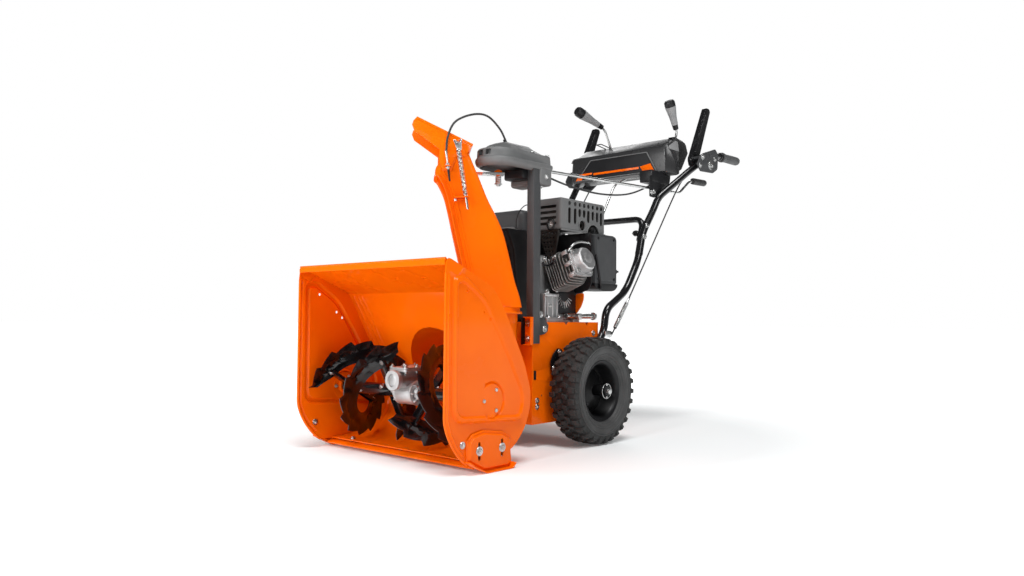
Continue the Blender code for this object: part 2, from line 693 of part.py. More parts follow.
def chute_plate(loops, low, high):
    """An outline in discharge distance and height, extruded across the chute."""
    return plate(loops, low, high, CHUTE_FRAME)


CHUTE_BACK = [(-0.066, 0.4175), (-0.058, 0.452), (-0.044, 0.496), (-0.027, 0.568), (-0.009, 0.634), (0.011, 0.680),
              (0.035, 0.726), (0.0585, 0.782), (0.079, 0.828), (0.0925, 0.861)]
CHUTE_FRONT = [(0.176, 0.830), (0.187, 0.811), (0.190, 0.797), (0.180, 0.790), (0.157, 0.746), (0.1365, 0.664),
               (0.107, 0.533), (0.088, 0.452), (0.078, 0.4175)]


ROD_TOP = (0.1283, 0.884)
ROD_END = (0.0957, 0.693)
ROD_PIN = (0.1262, 0.889)
ROD_W = -CHUTE_HALF_WIDTH - 0.0265
"""The deflector's push rod stands outside the cable's ear, so that the two pass each other."""


def make_chute():
    """A three-sided channel with turned-out front edges, standing on a ring, with an arm to the spindle."""
    half = CHUTE_HALF_WIDTH
    wall = 0.0025
    channel = chute_plate([CHUTE_BACK + CHUTE_FRONT], -half, half)
    inner_back = [(s + wall, z) for s, z in CHUTE_BACK]
    inner_back[0] = (inner_back[0][0], 0.40)
    inner_back[-1] = (inner_back[-1][0] + 0.004, 0.90)
    opening = chute_plate([inner_back + [(0.30, 0.90), (0.30, 0.40)]], -half + wall, half - wall)
    solid = cut(channel, opening)
    edge = CHUTE_FRONT[3:8]
    flange = edge + [(s - 0.003, z) for s, z in edge[::-1]]
    for low, high in ((-half - 0.012, -half + 0.001), (half - 0.001, half + 0.012)):
        solid = union(solid, chute_plate([flange], low, high))
    ring_profile = [(0.0565, RING_Z), (RING_RADIUS, RING_Z), (RING_RADIUS, 0.4195), (0.0565, 0.4195)]
    ring = turned(ring_profile, (CHUTE_X, CHUTE_Y, 0), (0, 0, 1), 32)
    arm_outline = [(-0.016, 0.8105), (-0.016, 0.8145), (0.076, 0.8145), (0.074, 0.8105)]
    spindle_arm = chute_plate([arm_outline], -0.016, 0.016)
    spindle = cylinder((CHUTE_X, CHUTE_Y, 0.778), (CHUTE_X, CHUTE_Y, 0.8255), 0.006, 16)
    tab = chute_plate([[(0.092, 0.7285), (0.092, 0.7315), (0.1355, 0.7280), (0.1355, 0.7250)]], ROD_W - 0.009,
                      -half + 0.001)
    rod_hole = cylinder(chute_point(0.0969, 0.70, ROD_W), chute_point(0.1071, 0.76, ROD_W), 0.0068, 16)
    wire_hole = cylinder(chute_point(0.1285, 0.70, CABLE_W), chute_point(0.1345, 0.75, CABLE_W), 0.0025, 10)
    solid = union(solid, ring, spindle_arm, spindle, cut(tab, rod_hole, wire_hole))
    finish(solid, "chute", ORANGE, (CHUTE_X, CHUTE_Y, RING_Z))


def make_deflector():
    """A hood with a top and two sides, hinged at the chute's upper back edge."""
    half = CHUTE_HALF_WIDTH + 0.0008
    wall = 0.0025
    top = [(0.081, 0.8865), (0.2415, 0.960)]
    side = top + [(0.252, 0.948), (0.256, 0.936), (0.249, 0.918), (0.177, 0.868), (0.178, 0.835), (0.168, 0.806)]
    side += [(0.144, 0.806), (0.128, 0.846), (0.0925, 0.852), (0.078, 0.870)]
    solid = chute_plate([side], -half - wall, half + wall)
    room = [(0.05, 0.8695), (0.2445, 0.9588), (0.30, 0.95), (0.30, 0.78), (0.05, 0.78)]
    solid = cut(solid, chute_plate([room], -half, half))
    ear = chute_plate([rectangle(0.144, 0.8175, 0.162, 0.8205)], CABLE_W - 0.007, -half - 0.001)
    hole = cylinder(chute_point(0.152, 0.80, CABLE_W), chute_point(0.154, 0.84, CABLE_W), 0.0042, 12)
    far_trim = chute_plate([rectangle(0.118, 0.79, 0.20, 0.8345)], half - 0.01, half + 0.01)
    pin = cylinder(chute_point(*ROD_PIN, -half - 0.001), chute_point(*ROD_PIN, ROD_W - 0.005), 0.0035, 16)
    finish(cut(union(solid, cut(ear, hole), pin), far_trim), "deflector", ORANGE,
           chute_point(DEFLECTOR_S, DEFLECTOR_Z, 0))


def make_deflector_rod():
    """A rod with a fork round the deflector's pin, which slides through the tab on the chute."""
    rod = cylinder(chute_point(*ROD_END, ROD_W), chute_point(*ROD_TOP, ROD_W), 0.0035, 12)
    prongs = []
    for offset in (-0.0075, 0.0055):
        outline = [(ROD_TOP[0] - 0.0045 + offset, 0.872), (ROD_TOP[0] - 0.0025 + offset, 0.897)]
        outline += [(ROD_TOP[0] + 0.0015 + offset, 0.8965), (ROD_TOP[0] - 0.0005 + offset, 0.871)]
        prongs.append(chute_plate([outline], ROD_W - 0.004, ROD_W + 0.004))
    base = chute_plate([[(0.1175, 0.869), (0.119, 0.881), (0.1355, 0.879), (0.134, 0.867)]], ROD_W - 0.004, ROD_W + 0.004)
    finish(union(rod, base, *prongs), "deflector_rod", STEEL, chute_point(*ROD_PIN, ROD_W))


def make_deflector_spring():
    """The push spring round the rod, as the plain sleeve that its coils fill."""
    low = chute_point(0.1023, 0.7325, ROD_W)
    high = chute_point(0.1252, 0.8660, ROD_W)
    length = (high - low).length
    profile = [(0.0042, 0.0), (0.0072, 0.0), (0.0072, length), (0.0042, length)]
    finish(turned(profile, low, high - low, 16), "deflector_spring", STEEL, low)


def make_gear_head():
    """The hood over the turning gear: a rounded nose over the spindle and a deeper box over the post."""
    def hood_outline(inset):
        outline = arc(CHUTE_X, CHUTE_Y, 0.069 - inset, 180, 360, 14)
        return outline + [(0.179 - inset, -0.200), (0.180 - inset, -0.132 - inset), (0.050 + inset, -0.132 - inset)]

    lower = plate_z([hood_outline(0.0)], 0.832, 0.858)
    upper = plate_z([hood_outline(0.018)], 0.850, 0.879)
    crown_profile = [(-0.322, 0.875), (-0.300, 0.900), (-0.262, 0.9135), (-0.170, 0.884), (-0.152, 0.874)]
    crown = plate_x([crown_profile], 0.068, 0.152)
    skirt = box((0.0502, -0.186, 0.790), (0.1798, -0.1321, 0.840), 0.004)
    hood = union(lower, upper, crown, skirt)
    room = plate_z([hood_outline(0.0026)], 0.70, 0.854)
    finish(cut(hood, room), "gear_head_cover", PLASTIC)


def make_post():
    """A folded channel that carries the gear head, with a foot plate bolted to the frame."""
    outline = [(0.175, -0.2150), (0.175, -0.183), (0.172, -0.183), (0.172, -0.2121), (0.149, -0.2121),
               (0.149, -0.2150)]
    channel = plate_z([outline], 0.311, 0.838)
    rear_flange = plate_z([rectangle(0.146, -0.1860, 0.1735, -0.1831)], 0.392, 0.8375)
    foot = plate_x([[(-0.185, 0.335), (-0.185, 0.415), (-0.158, 0.385), (-0.140, 0.366), (-0.142, 0.348),
                     (-0.158, 0.339)]], 0.1704, 0.1735)
    finish(union(channel, rear_flange, foot), "chute_post", BLACK)


def make_post_bracket():
    """The folded bracket that ties the post to the impeller housing."""
    web = plate_y([rectangle(0.140, 0.3065, 0.1767, 0.390)], -0.2185, -0.2155)
    solid = web
    for low in (0.306, 0.3875):
        fold = [(0.177, -0.217), (0.177, -0.2300), (0.150, -0.2300), (0.139, -0.217)]
        solid = union(solid, plate_z([fold], low, low + PLATE))
    finish(solid, "post_bracket", ORANGE)


# ---------------------------------------------------------------- belt cover and engine


def make_belt_cover():
    """A tall cover over both belts, open behind and below."""
    def outline(inset):
        low = 0.112 - inset
        high = 0.095 - inset
        top = 0.664 - inset
        return [(-low, 0.3755), (-low, 0.45), (-high, 0.60), (-high + 0.030, top), (high - 0.030, top), (high, 0.60),
                (low, 0.45), (low, 0.3755)]
    shell = plate_y([outline(0.0)], -0.2105, -0.105)
    room = plate_y([[(x, z if z > 0.38 else 0.30) for x, z in outline(0.0025)]], -0.208, -0.08)
    finish(cut(shell, room), "belt_cover", PLASTIC)


def make_engine_block():
    block = box((-0.092, -0.088, 0.3635), (0.118, 0.072, 0.588), 0.012, 2)
    foot = box((-0.105, -0.092, 0.3633), (0.122, 0.076, 0.385), 0.004)
    boss = cylinder((0, -0.100, CRANK_Z), (0, -0.08, CRANK_Z), 0.040, 24)
    drain = cylinder((0.100, 0.045, 0.3935), (0.152, 0.045, 0.3935), 0.0085, 16)
    cap = cylinder((0.150, 0.045, 0.3935), (0.158, 0.045, 0.3935), 0.0115, 6)
    bore = cylinder((0, -0.2, CRANK_Z), (0, 0.2, CRANK_Z), AUGER_SHAFT_RADIUS + GAP, 18)
    finish(cut(union(block, foot, boss, drain, cap), bore), "engine_block", CAST)


def make_cylinder():
    """The finned cylinder and its head, leaning out over the left wheel."""
    lean = Matrix.Translation((0, 0, CRANK_Z)) @ Matrix.Rotation(-CYLINDER_TILT, 4, "Y")
    solid = box((0.131, -0.036, -0.040), (0.210, 0.040, 0.040))
    for i in range(7):
        x = 0.137 + 0.0105 * i
        reach = 0.056 if i < 5 else 0.050
        solid = union(solid, box((x, -reach, -reach + 0.004), (x + 0.0035, reach, reach - 0.004)))
    joint_face = box((-0.1, -0.1, 0.35), (0.118 + GAP, 0.1, 0.62))
    finish(cut(moved(solid, lean), joint_face), "engine_cylinder", CAST)
    cover = box((0.2105, -0.034, -0.034), (0.236, 0.034, 0.034), 0.009, 2)
    finish(moved(cover, lean), "valve_cover", CAST)


def make_muffler_cover():
    """A slotted heat guard, open below and towards the tank."""
    low = (0.020, -0.055, 0.668)
    high = (0.155, 0.187, 0.772)
    shell = box(low, high, 0.006)
    room = box((0.0, -0.0525, 0.60), (0.1525, 0.1845, 0.7695), 0.005)
    slots = []
    for i in range(9):
        y = -0.036 + 0.0245 * i
        slots.append(box((0.14, y, 0.690), (0.17, y + 0.010, 0.752)))
    for i in range(3):
        z = 0.690 + 0.024 * i
        slots.append(box((0.040, -0.07, z), (0.135, -0.04, z + 0.010)))
    finish(cut(shell, room, *slots), "muffler_cover", PLASTIC)


def make_heater_box():
    """The box over the carburettor that keeps it warm; its lower corners are rounded."""
    outline = [(0.092, 0.6655), (0.200, 0.6655), (0.223, 0.6625), (HEATER_BACK_Y, 0.6540), (HEATER_BACK_Y, 0.5080),
               (0.2240, 0.4930), (0.2100, 0.4830), (0.190, 0.4790), (0.135, 0.4785), (0.110, 0.4840), (0.092, 0.4980)]
    finish(plate_x([outline], 0.113, 0.181), "heater_box", PLASTIC)


def make_fuel_tank():
    tank = box((-0.160, -0.075, 0.610), (0.008, 0.150, 0.745), 0.016, 2)
    neck = cylinder((-0.045, 0.095, 0.740), (-0.045, 0.095, 0.752), 0.026, 20)
    cap = cylinder((-0.045, 0.095, 0.750), (-0.045, 0.095, 0.768), 0.031, 20)
    finish(union(tank, neck, cap), "fuel_tank", PLASTIC)


def make_recoil_housing():
    profile = [(0.0, 0.076), (0.108, 0.076), (0.112, 0.082), (0.112, 0.122), (0.100, 0.140), (0.075, 0.150),
               (0.070, 0.172), (0.0, 0.178)]
    housing = turned(profile, (0, 0, CRANK_Z), (0, 1, 0), 24, closed=False)
    room = turned([(0.0, 0.070), (0.104, 0.070), (0.104, 0.118), (0.072, 0.136), (0.0, 0.136)],
                  (0, 0, CRANK_Z), (0, 1, 0), 24, closed=False)
    guide = box((-0.075, 0.128, 0.570), (-0.045, 0.150, 0.6035), 0.004)
    eye = cylinder((-0.060, 0.120, 0.587), (-0.060, 0.17, 0.587), 0.0035, 10)
    finish(cut(union(housing, guide), room, eye), "recoil_housing", PLASTIC)


def make_recoil_handle():
    grip = cylinder((-0.090, 0.164, 0.587), (-0.030, 0.164, 0.587), 0.0095, 16)
    neck = cylinder((-0.060, 0.1506, 0.587), (-0.060, 0.166, 0.587), 0.007, 14)
    finish(union(grip, neck), "recoil_handle", PLASTIC, (-0.060, 0.1506, 0.587))


def make_choke_knob():
    back = HEATER_BACK_Y + GAP
    knob = cylinder((0.160, back, 0.548), (0.160, back + 0.010, 0.548), 0.011, 16)
    wing = box((0.1485, back + 0.009, 0.5445), (0.1715, back + 0.017, 0.5515), 0.001)
    finish(union(knob, wing), "choke_knob", PLASTIC, (0.160, back, 0.548))


def make_crankshaft():
    """The crankshaft's output end with both drive pulleys, and the flywheel at the recoil end."""
    shaft = cylinder((0, -0.206, CRANK_Z), (0, 0.120, CRANK_Z), AUGER_SHAFT_RADIUS, 16)
    first = turned(pulley_profile(CRANK_PULLEY_RADIUS, 0.011, AUGER_BELT_Y), (0, 0, CRANK_Z), (0, 1, 0), 20)
    second = turned(pulley_profile(CRANK_PULLEY_RADIUS, 0.011, TRACTION_BELT_Y), (0, 0, CRANK_Z), (0, 1, 0), 20)
    flywheel = cylinder((0, 0.084, CRANK_Z), (0, 0.106, CRANK_Z), 0.090, 24)
    finish(union(shaft, first, second, flywheel), "crankshaft", STEEL, (0, 0, CRANK_Z))


# ---------------------------------------------------------------- handlebars and controls

HANDLE_PATH = [(HANDLE_LOW_X, 0.112, 0.312), (HANDLE_LOW_X, 0.142, 0.350), (HANDLE_LOW_X, 0.152, 0.417),
               (HANDLE_LOW_X, 0.272, 0.483), (HANDLE_LOW_X, 0.348, 0.592), (HANDLE_LOW_X, 0.376, 0.690),
               (0.195, 0.432, 0.780), (0.203, 0.452, 0.826), (0.262, 0.606, 0.952), (GRIP_X, 0.700, 1.008),
               (GRIP_X, 0.760, 1.0135)]
GRIP_START = (GRIP_X, 0.7603, 1.0135)
GRIP_END = (GRIP_X, 0.9155, 1.0190)


def make_handlebars():
    end = (GRIP_X, 0.900, 1.0185)
    both_sides(tube(rounded(HANDLE_PATH + [end], 0.035, 2), TUBE_RADIUS, 1), "handlebar", BLACK)
    path = [(0.158, 0.398, 0.668), (0.158, 0.428, 0.750), (-0.158, 0.428, 0.750), (-0.158, 0.398, 0.668)]
    finish(tube(rounded(path, 0.045, 4), 0.0115, 2), "handlebar_crossbar", BLACK)


def make_grips():
    start = Vector((GRIP_X, 0.7800, 1.0142))
    end = Vector(GRIP_END)
    length = (end - start).length
    inner = TUBE_RADIUS + GAP
    profile = [(0.0, length), (0.0162, length), (0.0162, 0.012), (0.0185, 0.008), (0.0185, 0.0), (inner, 0.0),
               (inner, length - 0.004), (0.0, length - 0.004)]
    both_sides(turned(profile, start, end - start, 16, closed=False), "grip", GRIP)


def make_control_panel():
    """The console: a long faceted box with chamfered ends, between the handlebars."""
    profile = [(0.492, 0.926), (0.490, 1.021), (0.573, 1.066), (0.640, 1.060), (0.662, 1.020), (0.610, 0.950),
               (0.530, 0.914)]
    body = plate_x([profile], -0.2365, 0.2365)
    for side in (-1, 1):
        wedge = plate_z([[(side * 0.204, 0.40), (side * 0.204, 0.488), (side * 0.2365, 0.518), (side * 0.2365, 0.545),
                          (side * 0.212, 0.580), (side * 0.206, 0.75), (side * 0.30, 0.75), (side * 0.30, 0.40)]],
                        0.80, 1.20)
        slope = plate_y([[(side * 0.2365, 0.965), (side * 0.204, 1.066), (side * 0.204, 1.20), (side * 0.30, 1.20),
                          (side * 0.30, 0.965)]], 0.30, 0.80)
        body = cut(body, wedge, slope)
    finish(body, "control_panel", PLASTIC)


def make_lever_brackets():
    outline = [(0.585, 0.930), (0.560, 0.952), (0.585, 0.990), (0.606, 1.000), (0.700, 1.030), (0.722, 1.012),
               (0.716, 0.955), (0.680, 0.936)]
    web = plate_x([outline], GRIP_X + 0.0132, GRIP_X + 0.0167)
    pin = cylinder((LEVER_X - 0.008, LEVER_PIVOT_Y, LEVER_PIVOT_Z), (GRIP_X + 0.0150, LEVER_PIVOT_Y, LEVER_PIVOT_Z),
                   0.005, 16)
    both_sides(union(web, pin), "lever_bracket", BLACK)


def make_clutch_levers():
    """Two tall blades that fold back onto the grips: traction on the left, auger and impeller on the right."""
    loop = [(0.592, 0.972), (0.588, 0.990), (0.702, 1.187), (0.722, 1.180), (0.618, 0.985), (0.612, 0.974)]
    hole = circle(LEVER_PIVOT_Y, LEVER_PIVOT_Z, 0.0054, 14)
    blade = plate_x([loop, hole], LEVER_X - 0.006, LEVER_X + 0.006)
    other = mirrored(blade)
    finish(blade, "traction_lever", BLACK, (LEVER_X, LEVER_PIVOT_Y, LEVER_PIVOT_Z))
    finish(other, "auger_lever", BLACK, (-LEVER_X, LEVER_PIVOT_Y, LEVER_PIVOT_Z))


def make_hand_lever(name, foot, bend, tip):
    """A steel rod with a shaped grip, standing in a slot of the console."""
    foot, bend, tip = Vector(foot), Vector(bend), Vector(tip)
    rod = tube(rounded([foot, bend, tip], 0.02), 0.0045, 2)
    start = bend.lerp(tip, 0.10)
    length = (tip - start).length + 0.006
    profile = [(0.0, 0.0), (0.010, 0.002), (0.0145, length * 0.45), (0.0165, length * 0.85), (0.012, length),
               (0.0, length + 0.002)]
    grip = turned(profile, start, tip - start, 14, closed=False)
    finish(union(rod, grip), name, PLASTIC, foot)


def make_hand_levers():
    make_hand_lever("deflector_lever", (0.190, 0.600, 1.0690), (0.190, 0.608, 1.095), (0.190, 0.552, 1.200))
    make_hand_lever("speed_lever", (-0.100, 0.596, 1.0690), (-0.108, 0.562, 1.144), (-0.140, 0.424, 1.1935))


CRANK_START = (0.1500, -0.1300, 0.8430)


def make_chute_crank():
    """The long rod from the gear head, with its cranked end and turning grip."""
    elbow = (0.200, 0.6073, 0.8619)
    arm_end = (0.200, 0.6830, 0.9148)
    grip_start = (0.200, 0.7103, 0.9213)
    grip_end = (0.200, 0.8072, 0.9263)
    rod = tube(rounded([CRANK_START, elbow, arm_end, grip_start], 0.018), 0.0050, 2)
    grip = cylinder(grip_start, grip_end, 0.0125, 16)
    finish(union(rod, grip), "chute_crank", STEEL, CRANK_START)


def make_cables():
    """The deflector cable in its two runs, and the cables from the clutch levers down to the frame."""
    arch = [(0.1045, -0.262, 0.9155), (0.102, -0.290, 0.952), (0.094, -0.335, 0.982), (0.082, -0.385, 0.979),
            chute_point(0.132, 0.949, -0.0665), chute_point(0.1535, 0.905, CABLE_W),
            chute_point(0.1585, 0.860, CABLE_W)]
    finish(tube(smooth_route(arch, 3), 0.0027, 1), "deflector_cable_front", GRIP)
    run = [(0.138, -0.1295, 0.832), (0.144, 0.00, 0.814), (0.150, 0.16, 0.808), (0.155, 0.32, 0.826),
           (0.160, 0.45, 0.870), (0.162, 0.520, 0.9120)]
    finish(tube(smooth_route(run, 3), 0.0027, 1), "deflector_cable_rear", GRIP)
    drop = [(0.2200, 0.650, 0.949), (0.2110, 0.577, 0.874), (0.2060, 0.420, 0.666), (0.2020, 0.2544, 0.4467),
            (0.2000, 0.164, 0.3364)]
    both_sides(tube(smooth_route(drop, 2), 0.0022, 1), "clutch_cable", STEEL)


# ---------------------------------------------------------------- build

make_auger_housing()
make_side_plates()
make_impeller_housing()
make_scraper()
make_skid_shoes()
make_auger_flight("auger_flight_left", math.radians(26), 1)
make_auger_flight("auger_flight_right", math.radians(90), -1)
make_auger_shaft()
make_impeller_shaft()
make_gear_case()
make_impeller()
make_auger_pulley()
make_belt("auger_belt", AUGER_BELT_Y, IMPELLER_Z, AUGER_PULLEY_RADIUS)
make_belt("traction_belt", TRACTION_BELT_Y, TRACTION_Z, TRACTION_PULLEY_RADIUS)
make_frame()
make_drive_axle()
make_hex_shaft()
make_friction_drive()
make_wheels()
make_chute()
make_deflector()
make_deflector_rod()
make_deflector_spring()
make_gear_head()
make_post()
make_post_bracket()
make_belt_cover()
make_engine_block()
make_cylinder()
make_muffler_cover()
make_heater_box()
make_fuel_tank()
make_recoil_housing()
make_recoil_handle()
make_choke_knob()
make_crankshaft()
make_handlebars()
make_grips()
make_control_panel()
make_lever_brackets()
make_clutch_levers()
make_hand_levers()
make_chute_crank()
make_cables()
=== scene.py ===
"""Looks of a walk-behind snow blower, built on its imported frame.

Positions are written in the machine's own axes (Y from the wheel axle, Z from the ground, metres)
and are moved to the row frame when a piece is placed.
"""
import json
from math import cos, pi, radians, sin

import bmesh
import bpy
import numpy as np
from mathutils import Matrix, Vector
from mathutils.geometry import delaunay_2d_cdt


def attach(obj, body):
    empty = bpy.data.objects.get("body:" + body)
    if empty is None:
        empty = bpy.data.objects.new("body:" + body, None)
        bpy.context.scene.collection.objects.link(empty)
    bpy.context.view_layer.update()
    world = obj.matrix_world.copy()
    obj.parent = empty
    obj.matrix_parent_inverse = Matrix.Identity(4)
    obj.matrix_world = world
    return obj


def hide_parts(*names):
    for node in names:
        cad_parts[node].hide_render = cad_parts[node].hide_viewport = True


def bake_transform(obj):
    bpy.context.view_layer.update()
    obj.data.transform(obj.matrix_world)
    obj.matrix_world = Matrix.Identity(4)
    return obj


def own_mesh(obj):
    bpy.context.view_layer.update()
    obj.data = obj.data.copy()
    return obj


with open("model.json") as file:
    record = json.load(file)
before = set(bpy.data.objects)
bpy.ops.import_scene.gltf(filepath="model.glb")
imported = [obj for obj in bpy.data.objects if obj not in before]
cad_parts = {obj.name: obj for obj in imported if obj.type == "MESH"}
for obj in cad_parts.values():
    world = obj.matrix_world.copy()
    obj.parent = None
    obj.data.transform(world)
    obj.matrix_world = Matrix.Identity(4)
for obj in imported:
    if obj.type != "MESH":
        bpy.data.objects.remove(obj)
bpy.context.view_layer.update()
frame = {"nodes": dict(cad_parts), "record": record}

AXLE_Y = -0.10604
TAU = 2 * pi
X, Y, Z = Vector((1, 0, 0)), Vector((0, 1, 0)), Vector((0, 0, 1))
WORN_FROM_TO = (0.512, 0.536)
"""Pointiness at which wear starts to show on an edge, and at which it is full."""
BODY_OF = {node: body for body, nodes in frame["record"]["behaviour"]["bodies"].items() for node in nodes}
SLOT_OF = {entry["node"]: entry["material_slot"] for entry in frame["record"]["subparts"]}

# ---------------------------------------------------------------- materials


def node_tree(name):
    material = bpy.data.materials.new(name)
    material.use_nodes = True
    return material, material.node_tree.nodes, material.node_tree.links


def texture(nodes, links, kind, scale, **settings):
    """A texture node on object coordinates; other settings are socket values."""
    coordinates = nodes.get("Texture Coordinate") or nodes.new("ShaderNodeTexCoord")
    made = nodes.new(kind)
    links.new(coordinates.outputs["Object"], made.inputs["Vector"])
    made.inputs["Scale"].default_value = scale
    for key, value in settings.items():
        made.inputs[key].default_value = value
    return made


def mapped(nodes, links, source, low, high, from_low=0.3, from_high=0.7):
    """A texture's value stretched to a range, for roughness and the like."""
    made = nodes.new("ShaderNodeMapRange")
    made.inputs["From Min"].default_value = from_low
    made.inputs["From Max"].default_value = from_high
    made.inputs["To Min"].default_value = low
    made.inputs["To Max"].default_value = high
    links.new(source, made.inputs["Value"])
    return made.outputs["Result"]


def blended(nodes, links, factor, one, two):
    made = nodes.new("ShaderNodeMix")
    made.data_type = "RGBA"
    made.inputs[6].default_value = (*one, 1)
    made.inputs[7].default_value = (*two, 1)
    links.new(factor, made.inputs[0])
    return made.outputs[2]


def bumped(nodes, links, height, strength, distance):
    made = nodes.new("ShaderNodeBump")
    made.inputs["Strength"].default_value = strength
    made.inputs["Distance"].default_value = distance
    links.new(height, made.inputs["Height"])
    return made.outputs["Normal"]


def surface(name, light, dark, rough, metal=0.0, grain=900.0, grain_bump=0.25, grain_depth=0.0001,
            mottle=18.0,
            coat=0.0, worn=None, specular=0.5):
    """A painted, moulded or cast finish: mottled colour, uneven gloss, a fine grain, lighter convex edges."""
    material, nodes, links = node_tree(name)
    shader = nodes["Principled BSDF"]
    patches = texture(nodes, links, "ShaderNodeTexNoise", mottle, Detail=4.0).outputs["Fac"]
    fine = texture(nodes, links, "ShaderNodeTexNoise", grain, Detail=3.0).outputs["Fac"]
    colour = blended(nodes, links, mapped(nodes, links, patches, 0.0, 1.0), light, dark)
    if worn:
        edge = nodes.new("ShaderNodeNewGeometry").outputs["Pointiness"]
        mix = nodes.new("ShaderNodeMix")
        mix.data_type = "RGBA"
        links.new(mapped(nodes, links, edge, 0.0, 0.45, *WORN_FROM_TO), mix.inputs[0])
        links.new(colour, mix.inputs[6])
        mix.inputs[7].default_value = (*worn, 1)
        colour = mix.outputs[2]
    links.new(colour, shader.inputs["Base Color"])
    links.new(mapped(nodes, links, patches, *rough), shader.inputs["Roughness"])
    links.new(bumped(nodes, links, fine, grain_bump, grain_depth), shader.inputs["Normal"])
    for socket, value in (("Metallic", metal), ("Coat Weight", coat), ("Coat Roughness", 0.08),
                          ("Specular IOR Level", specular)):
        shader.inputs[socket].default_value = value
    return material


ORANGE = surface("orange_powder_coat", (0.95, 0.152, 0.001), (0.89, 0.13, 0.001), (0.2, 0.32), grain=420.0,
                 grain_bump=0.06, mottle=7.0, coat=0.22, specular=0.05)
BLACK = surface("black_powder_coat", (0.0035, 0.0035, 0.004), (0.002, 0.002, 0.0024), (0.14, 0.24),
                grain=480.0,
                grain_bump=0.1, coat=0.3, specular=0.4, worn=(0.012, 0.012, 0.014))
ENAMEL = surface("satin_black_enamel", (0.0035, 0.0035, 0.004), (0.002, 0.002, 0.0024), (0.34, 0.48),
                 grain=480.0,
                 grain_bump=0.12, specular=0.3, worn=(0.012, 0.012, 0.014))
GLOSS = surface("satin_black_moulding", (0.01, 0.01, 0.0105), (0.007, 0.007, 0.0075), (0.2, 0.3), grain=900.0,
                grain_bump=0.12, coat=0.15, specular=0.4, worn=(0.06, 0.06, 0.062))
PLASTIC = surface("grained_charcoal_plastic", (0.04, 0.041, 0.043), (0.03, 0.031, 0.033), (0.42, 0.56),
                  grain=1500.0, grain_bump=0.45, worn=(0.085, 0.087, 0.09), specular=0.35)
PALE_PLASTIC = surface("grained_slate_plastic", (0.135, 0.138, 0.138), (0.105, 0.108, 0.109), (0.38, 0.52),
                       grain=1500.0, grain_bump=0.45, worn=(0.19, 0.19, 0.19), specular=0.35)
# Black moulded plastic; also the colour of the dark sheets of painted shade laid in slots, holes and openings.
DARK_PLASTIC_AND_SHADE = surface("grained_black_plastic_and_painted_shade", (0.006, 0.006, 0.0065), (0.004, 0.004, 0.0045), (0.3, 0.42),
                       grain=1300.0, grain_bump=0.35, worn=(0.02, 0.02, 0.022), specular=0.3)
# Grey grip plastic; also the colour of the grey plates of painted reflection on the console's corner facets.
GREY_PLASTIC_AND_REFLECTION = surface("soft_grey_grip_and_painted_reflection", (0.26, 0.26, 0.265), (0.21, 0.21, 0.215), (0.45, 0.6), grain=1100.0,
                       grain_bump=0.4, worn=(0.34, 0.34, 0.34))
ZINC = surface("zinc_plated_steel", (0.66, 0.665, 0.66), (0.5, 0.505, 0.5), (0.2, 0.38), metal=1.0,
               grain=700.0,
               grain_bump=0.12, mottle=60.0)
CAST = surface("die_cast_aluminium", (0.5, 0.5, 0.5), (0.36, 0.36, 0.365), (0.42, 0.6), metal=1.0,
               grain=620.0,
               grain_bump=0.55, grain_depth=0.0003, mottle=28.0, worn=(0.85, 0.85, 0.85))
FINS = surface("weathered_fin_aluminium", (0.46, 0.45, 0.44), (0.3, 0.295, 0.29), (0.36, 0.55), metal=1.0,
               grain=520.0, grain_bump=0.5, grain_depth=0.0003, mottle=34.0, worn=(0.6, 0.58, 0.56))
RUBBER = surface("tyre_rubber", (0.02, 0.02, 0.02), (0.011, 0.011, 0.011), (0.6, 0.8), grain=700.0,
                 grain_bump=0.35, mottle=26.0, worn=(0.035, 0.035, 0.034))
WALL = surface("tyre_sidewall_rubber", (0.06, 0.06, 0.06), (0.046, 0.046, 0.046), (0.52, 0.68), grain=800.0,
               grain_bump=0.3, mottle=20.0)
GRIP = surface("grip_rubber", (0.022, 0.022, 0.023), (0.015, 0.015, 0.016), (0.55, 0.72), grain=1400.0,
               grain_bump=0.5, worn=(0.05, 0.05, 0.05))
FOAM = surface("grip_foam", (0.085, 0.086, 0.088), (0.065, 0.066, 0.068), (0.6, 0.75), grain=1600.0,
               grain_bump=0.7)
BELT = surface("belt_rubber", (0.03, 0.03, 0.031), (0.018, 0.018, 0.019), (0.6, 0.8), grain=1800.0,
               grain_bump=0.6)
SOOT = surface("heat_dulled_steel", (0.06, 0.055, 0.05), (0.025, 0.023, 0.022), (0.45, 0.65), metal=0.8,
               grain=300.0, grain_bump=0.4, mottle=30.0)

FINISH = {"orange_paint": ORANGE, "black_paint": BLACK, "charcoal_plastic": PLASTIC, "zinc_steel": ZINC,
          "cast_aluminium": CAST, "tyre_rubber": RUBBER, "grip_rubber": GRIP, "belt_rubber": BELT}
"""The material that each slot of the record is shown in."""
USUAL_FINISH = {material: slot for slot, material in FINISH.items()}
USUAL_FINISH.update({DARK_PLASTIC_AND_SHADE: "charcoal_plastic", PALE_PLASTIC: "charcoal_plastic", SOOT: "black_paint",
                     GREY_PLASTIC_AND_REFLECTION: "charcoal_plastic", WALL: "tyre_rubber"})

# ---------------------------------------------------------------- mesh helpers


def from_bmesh(builder, angle=35):
    """A loose mesh object with outward faces, smooth across edges flatter than the angle."""
    bmesh.ops.recalc_face_normals(builder, faces=builder.faces)
    mesh = bpy.data.meshes.new("piece")
    builder.to_mesh(mesh)
    builder.free()
    mesh.shade_smooth()
    mesh.set_sharp_from_angle(angle=radians(angle))
    return linked(mesh)


def linked(data):
    """A new object of the data, in the scene."""
    obj = bpy.data.objects.new("piece", data)
    bpy.context.scene.collection.objects.link(obj)
    return obj


def removed(*objs):
    for obj in objs:
        bpy.data.objects.remove(obj, do_unlink=True)


